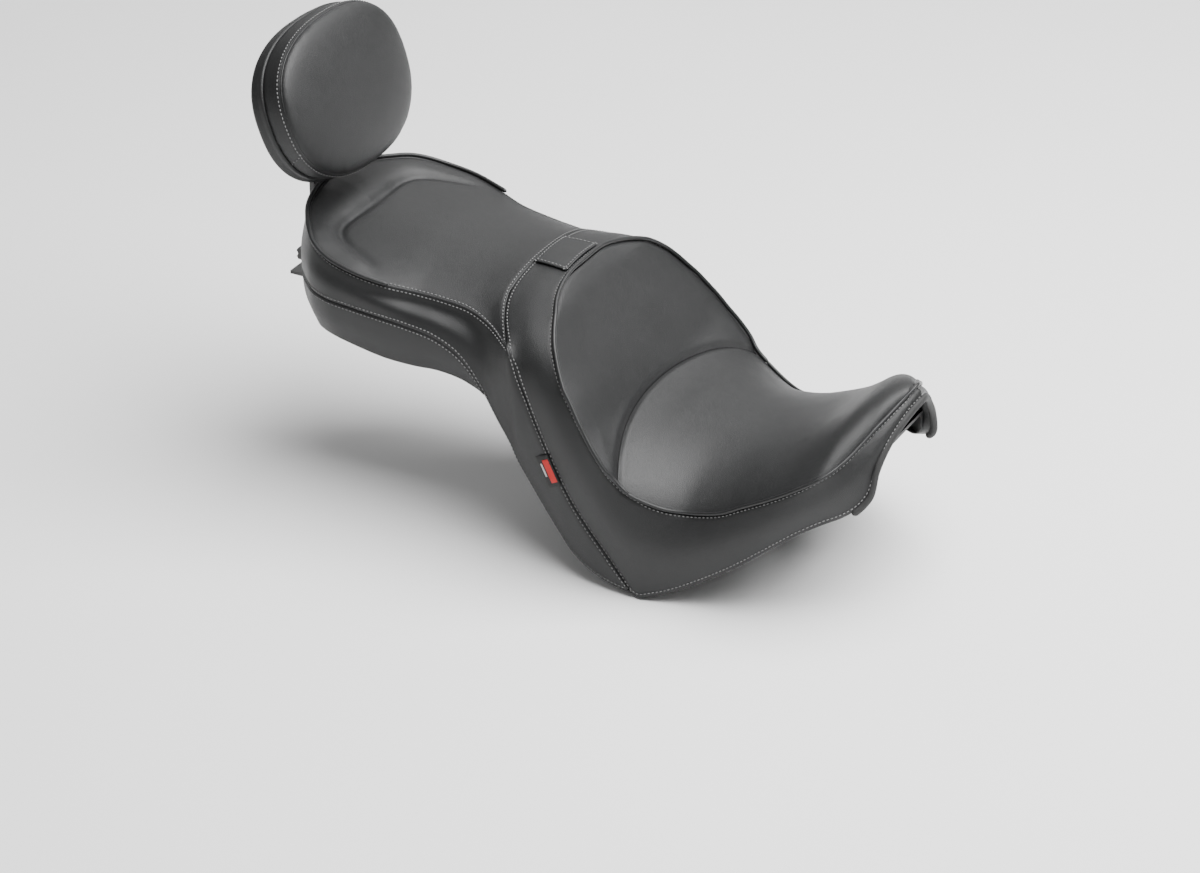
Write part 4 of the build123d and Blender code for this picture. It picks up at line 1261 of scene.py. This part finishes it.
# Materials of the CAD pieces that keep their own shape
cadFinish = (
    (panPlastic, "base_pan"),
    (blackSteel, "tail_tab front_tongue post_receiver backrest_post tilt_bracket backrest_socket"),
    (zincSteel, "socket_bolts socket_nuts tab_bolts tab_nuts tongue_bolts tongue_nuts"),
    (zincSteel, "pivot_bolt pivot_nut bracket_screws"),
    (blackRubber, "rubber_bumpers"),
    (knobPlastic, "clamp_screw"),
    (plyBoard, "pad_board"),
)
for material, nodes in cadFinish:
    for node in nodes.split():
        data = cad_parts[node].data
        data.materials.clear()
        data.materials.append(material)


def settle(piece, body, slotName, *nodes):
    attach(piece, body)
    if nodes:
        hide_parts(*nodes)


settle(passengerTop, "seat", "vinyl", "passenger_top_panel", "passenger_foam")
settle(passengerSides, "seat", "vinyl", "passenger_boxing", "right_side_gusset", "left_side_gusset")
settle(lowerSkirt, "seat", "vinyl", "passenger_lower_skirt")
settle(riderBand, "seat", "vinyl", "center_band", "right_rider_skirt", "left_rider_skirt")
settle(riderBack, "seat", "vinyl", "rider_back_panel", "rider_foam")
settle(riderSeat, "seat", "vinyl", "rider_seat_panel")
settle(rimWelt, "seat", "piping", "rim_piping")
settle(archWelt, "seat", "piping", "rider_piping")
settle(noseWelt, "seat", "piping", "rider_welt")
settle(noseLip, "seat", "black_rubber", "nose_lip")
settle(tag, "seat", "tag_cloth", "side_tag")
settle(tagMark, "seat", "tag_cloth")
settle(tagLine, "seat", "tag_cloth")
settle(seatStitches, "seat", "vinyl")
settle(staples, "seat", "zinc_steel")
settle(flap, "flap", "vinyl", "backrest_flap")
settle(flapStitches, "flap", "vinyl")
settle(pad, "pad", "vinyl", "pad_foam", "pad_face_panel", "pad_boxing_panel")
settle(padBack, "pad", "vinyl", "pad_rear_shell")
settle(padSeam, "pad", "piping")
settle(padStitches, "pad", "vinyl")


stageLook = {
    "floorSize": 30.0, "keyPower": 285.0, "rearPower": 34.0, "fillPower": 1.0, "worldLevel": 0.30,
    "lens": 120, "sensor": 36, "eye": (2.285, -3.568, 2.112), "gaze": (-0.41061, 0.77224, -0.48481),
}
floorMesh = bpy.data.meshes.new("floor")
reach = stageLook["floorSize"] / 2
floorZ = min(cadLow.z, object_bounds()[0].z) - 0.0005
corners = [(x * reach, y * reach, floorZ) for x, y in ((-1, -1), (1, -1), (1, 1), (-1, 1))]
floorMesh.from_pydata(corners, [], [(0, 1, 2, 3)])
floor = bpy.data.objects.new("floor", floorMesh)
scene.collection.objects.link(floor)
floorShader = Shader("paleFloor")
floorTone = floorShader.mixColour(floorShader.noise(3.0), grey(0.86), grey(0.89))
floorMesh.materials.append(floorShader.look(Base_Color=floorTone, Roughness=0.9))


def areaLight(name, place, target, size, power):
    light = bpy.data.lights.new(name, "AREA")
    light.shape = "RECTANGLE"
    light.size, light.size_y = size
    light.energy = power
    obj = bpy.data.objects.new(name, light)
    obj.location = place
    obj.rotation_mode = "QUATERNION"
    obj.rotation_quaternion = (Vector(target) - Vector(place)).to_track_quat("-Z", "Y")
    scene.collection.objects.link(obj)


areaLight("keyLight", (1.35, 0.3, 2.4), (0.35, 0.0, 0.0), (3.0, 2.8), stageLook["keyPower"])
areaLight("rearLight", (-0.9, 3.4, 1.8), (0.35, 0.0, 0.0), (4.0, 2.2), stageLook["rearPower"])
areaLight("frontFill", (2.4, -3.6, 1.2), (0.4, 0.0, 0.0), (2.0, 2.0), stageLook["fillPower"])
world = bpy.data.worlds.new("studio")
world.use_nodes = True
world.node_tree.nodes["Background"].inputs[0].default_value = (1, 1, 1, 1)
world.node_tree.nodes["Background"].inputs[1].default_value = stageLook["worldLevel"]
scene.world = world

camera = bpy.data.objects.new("camera", bpy.data.cameras.new("camera"))
camera.data.sensor_width = stageLook["sensor"]
camera.data.lens = stageLook["lens"]
camera.data.clip_end = 60
camera.location = stageLook["eye"]
camera.rotation_mode = "QUATERNION"
camera.rotation_quaternion = Vector(stageLook["gaze"]).to_track_quat("-Z", "Y")
scene.collection.objects.link(camera)
scene.camera = camera
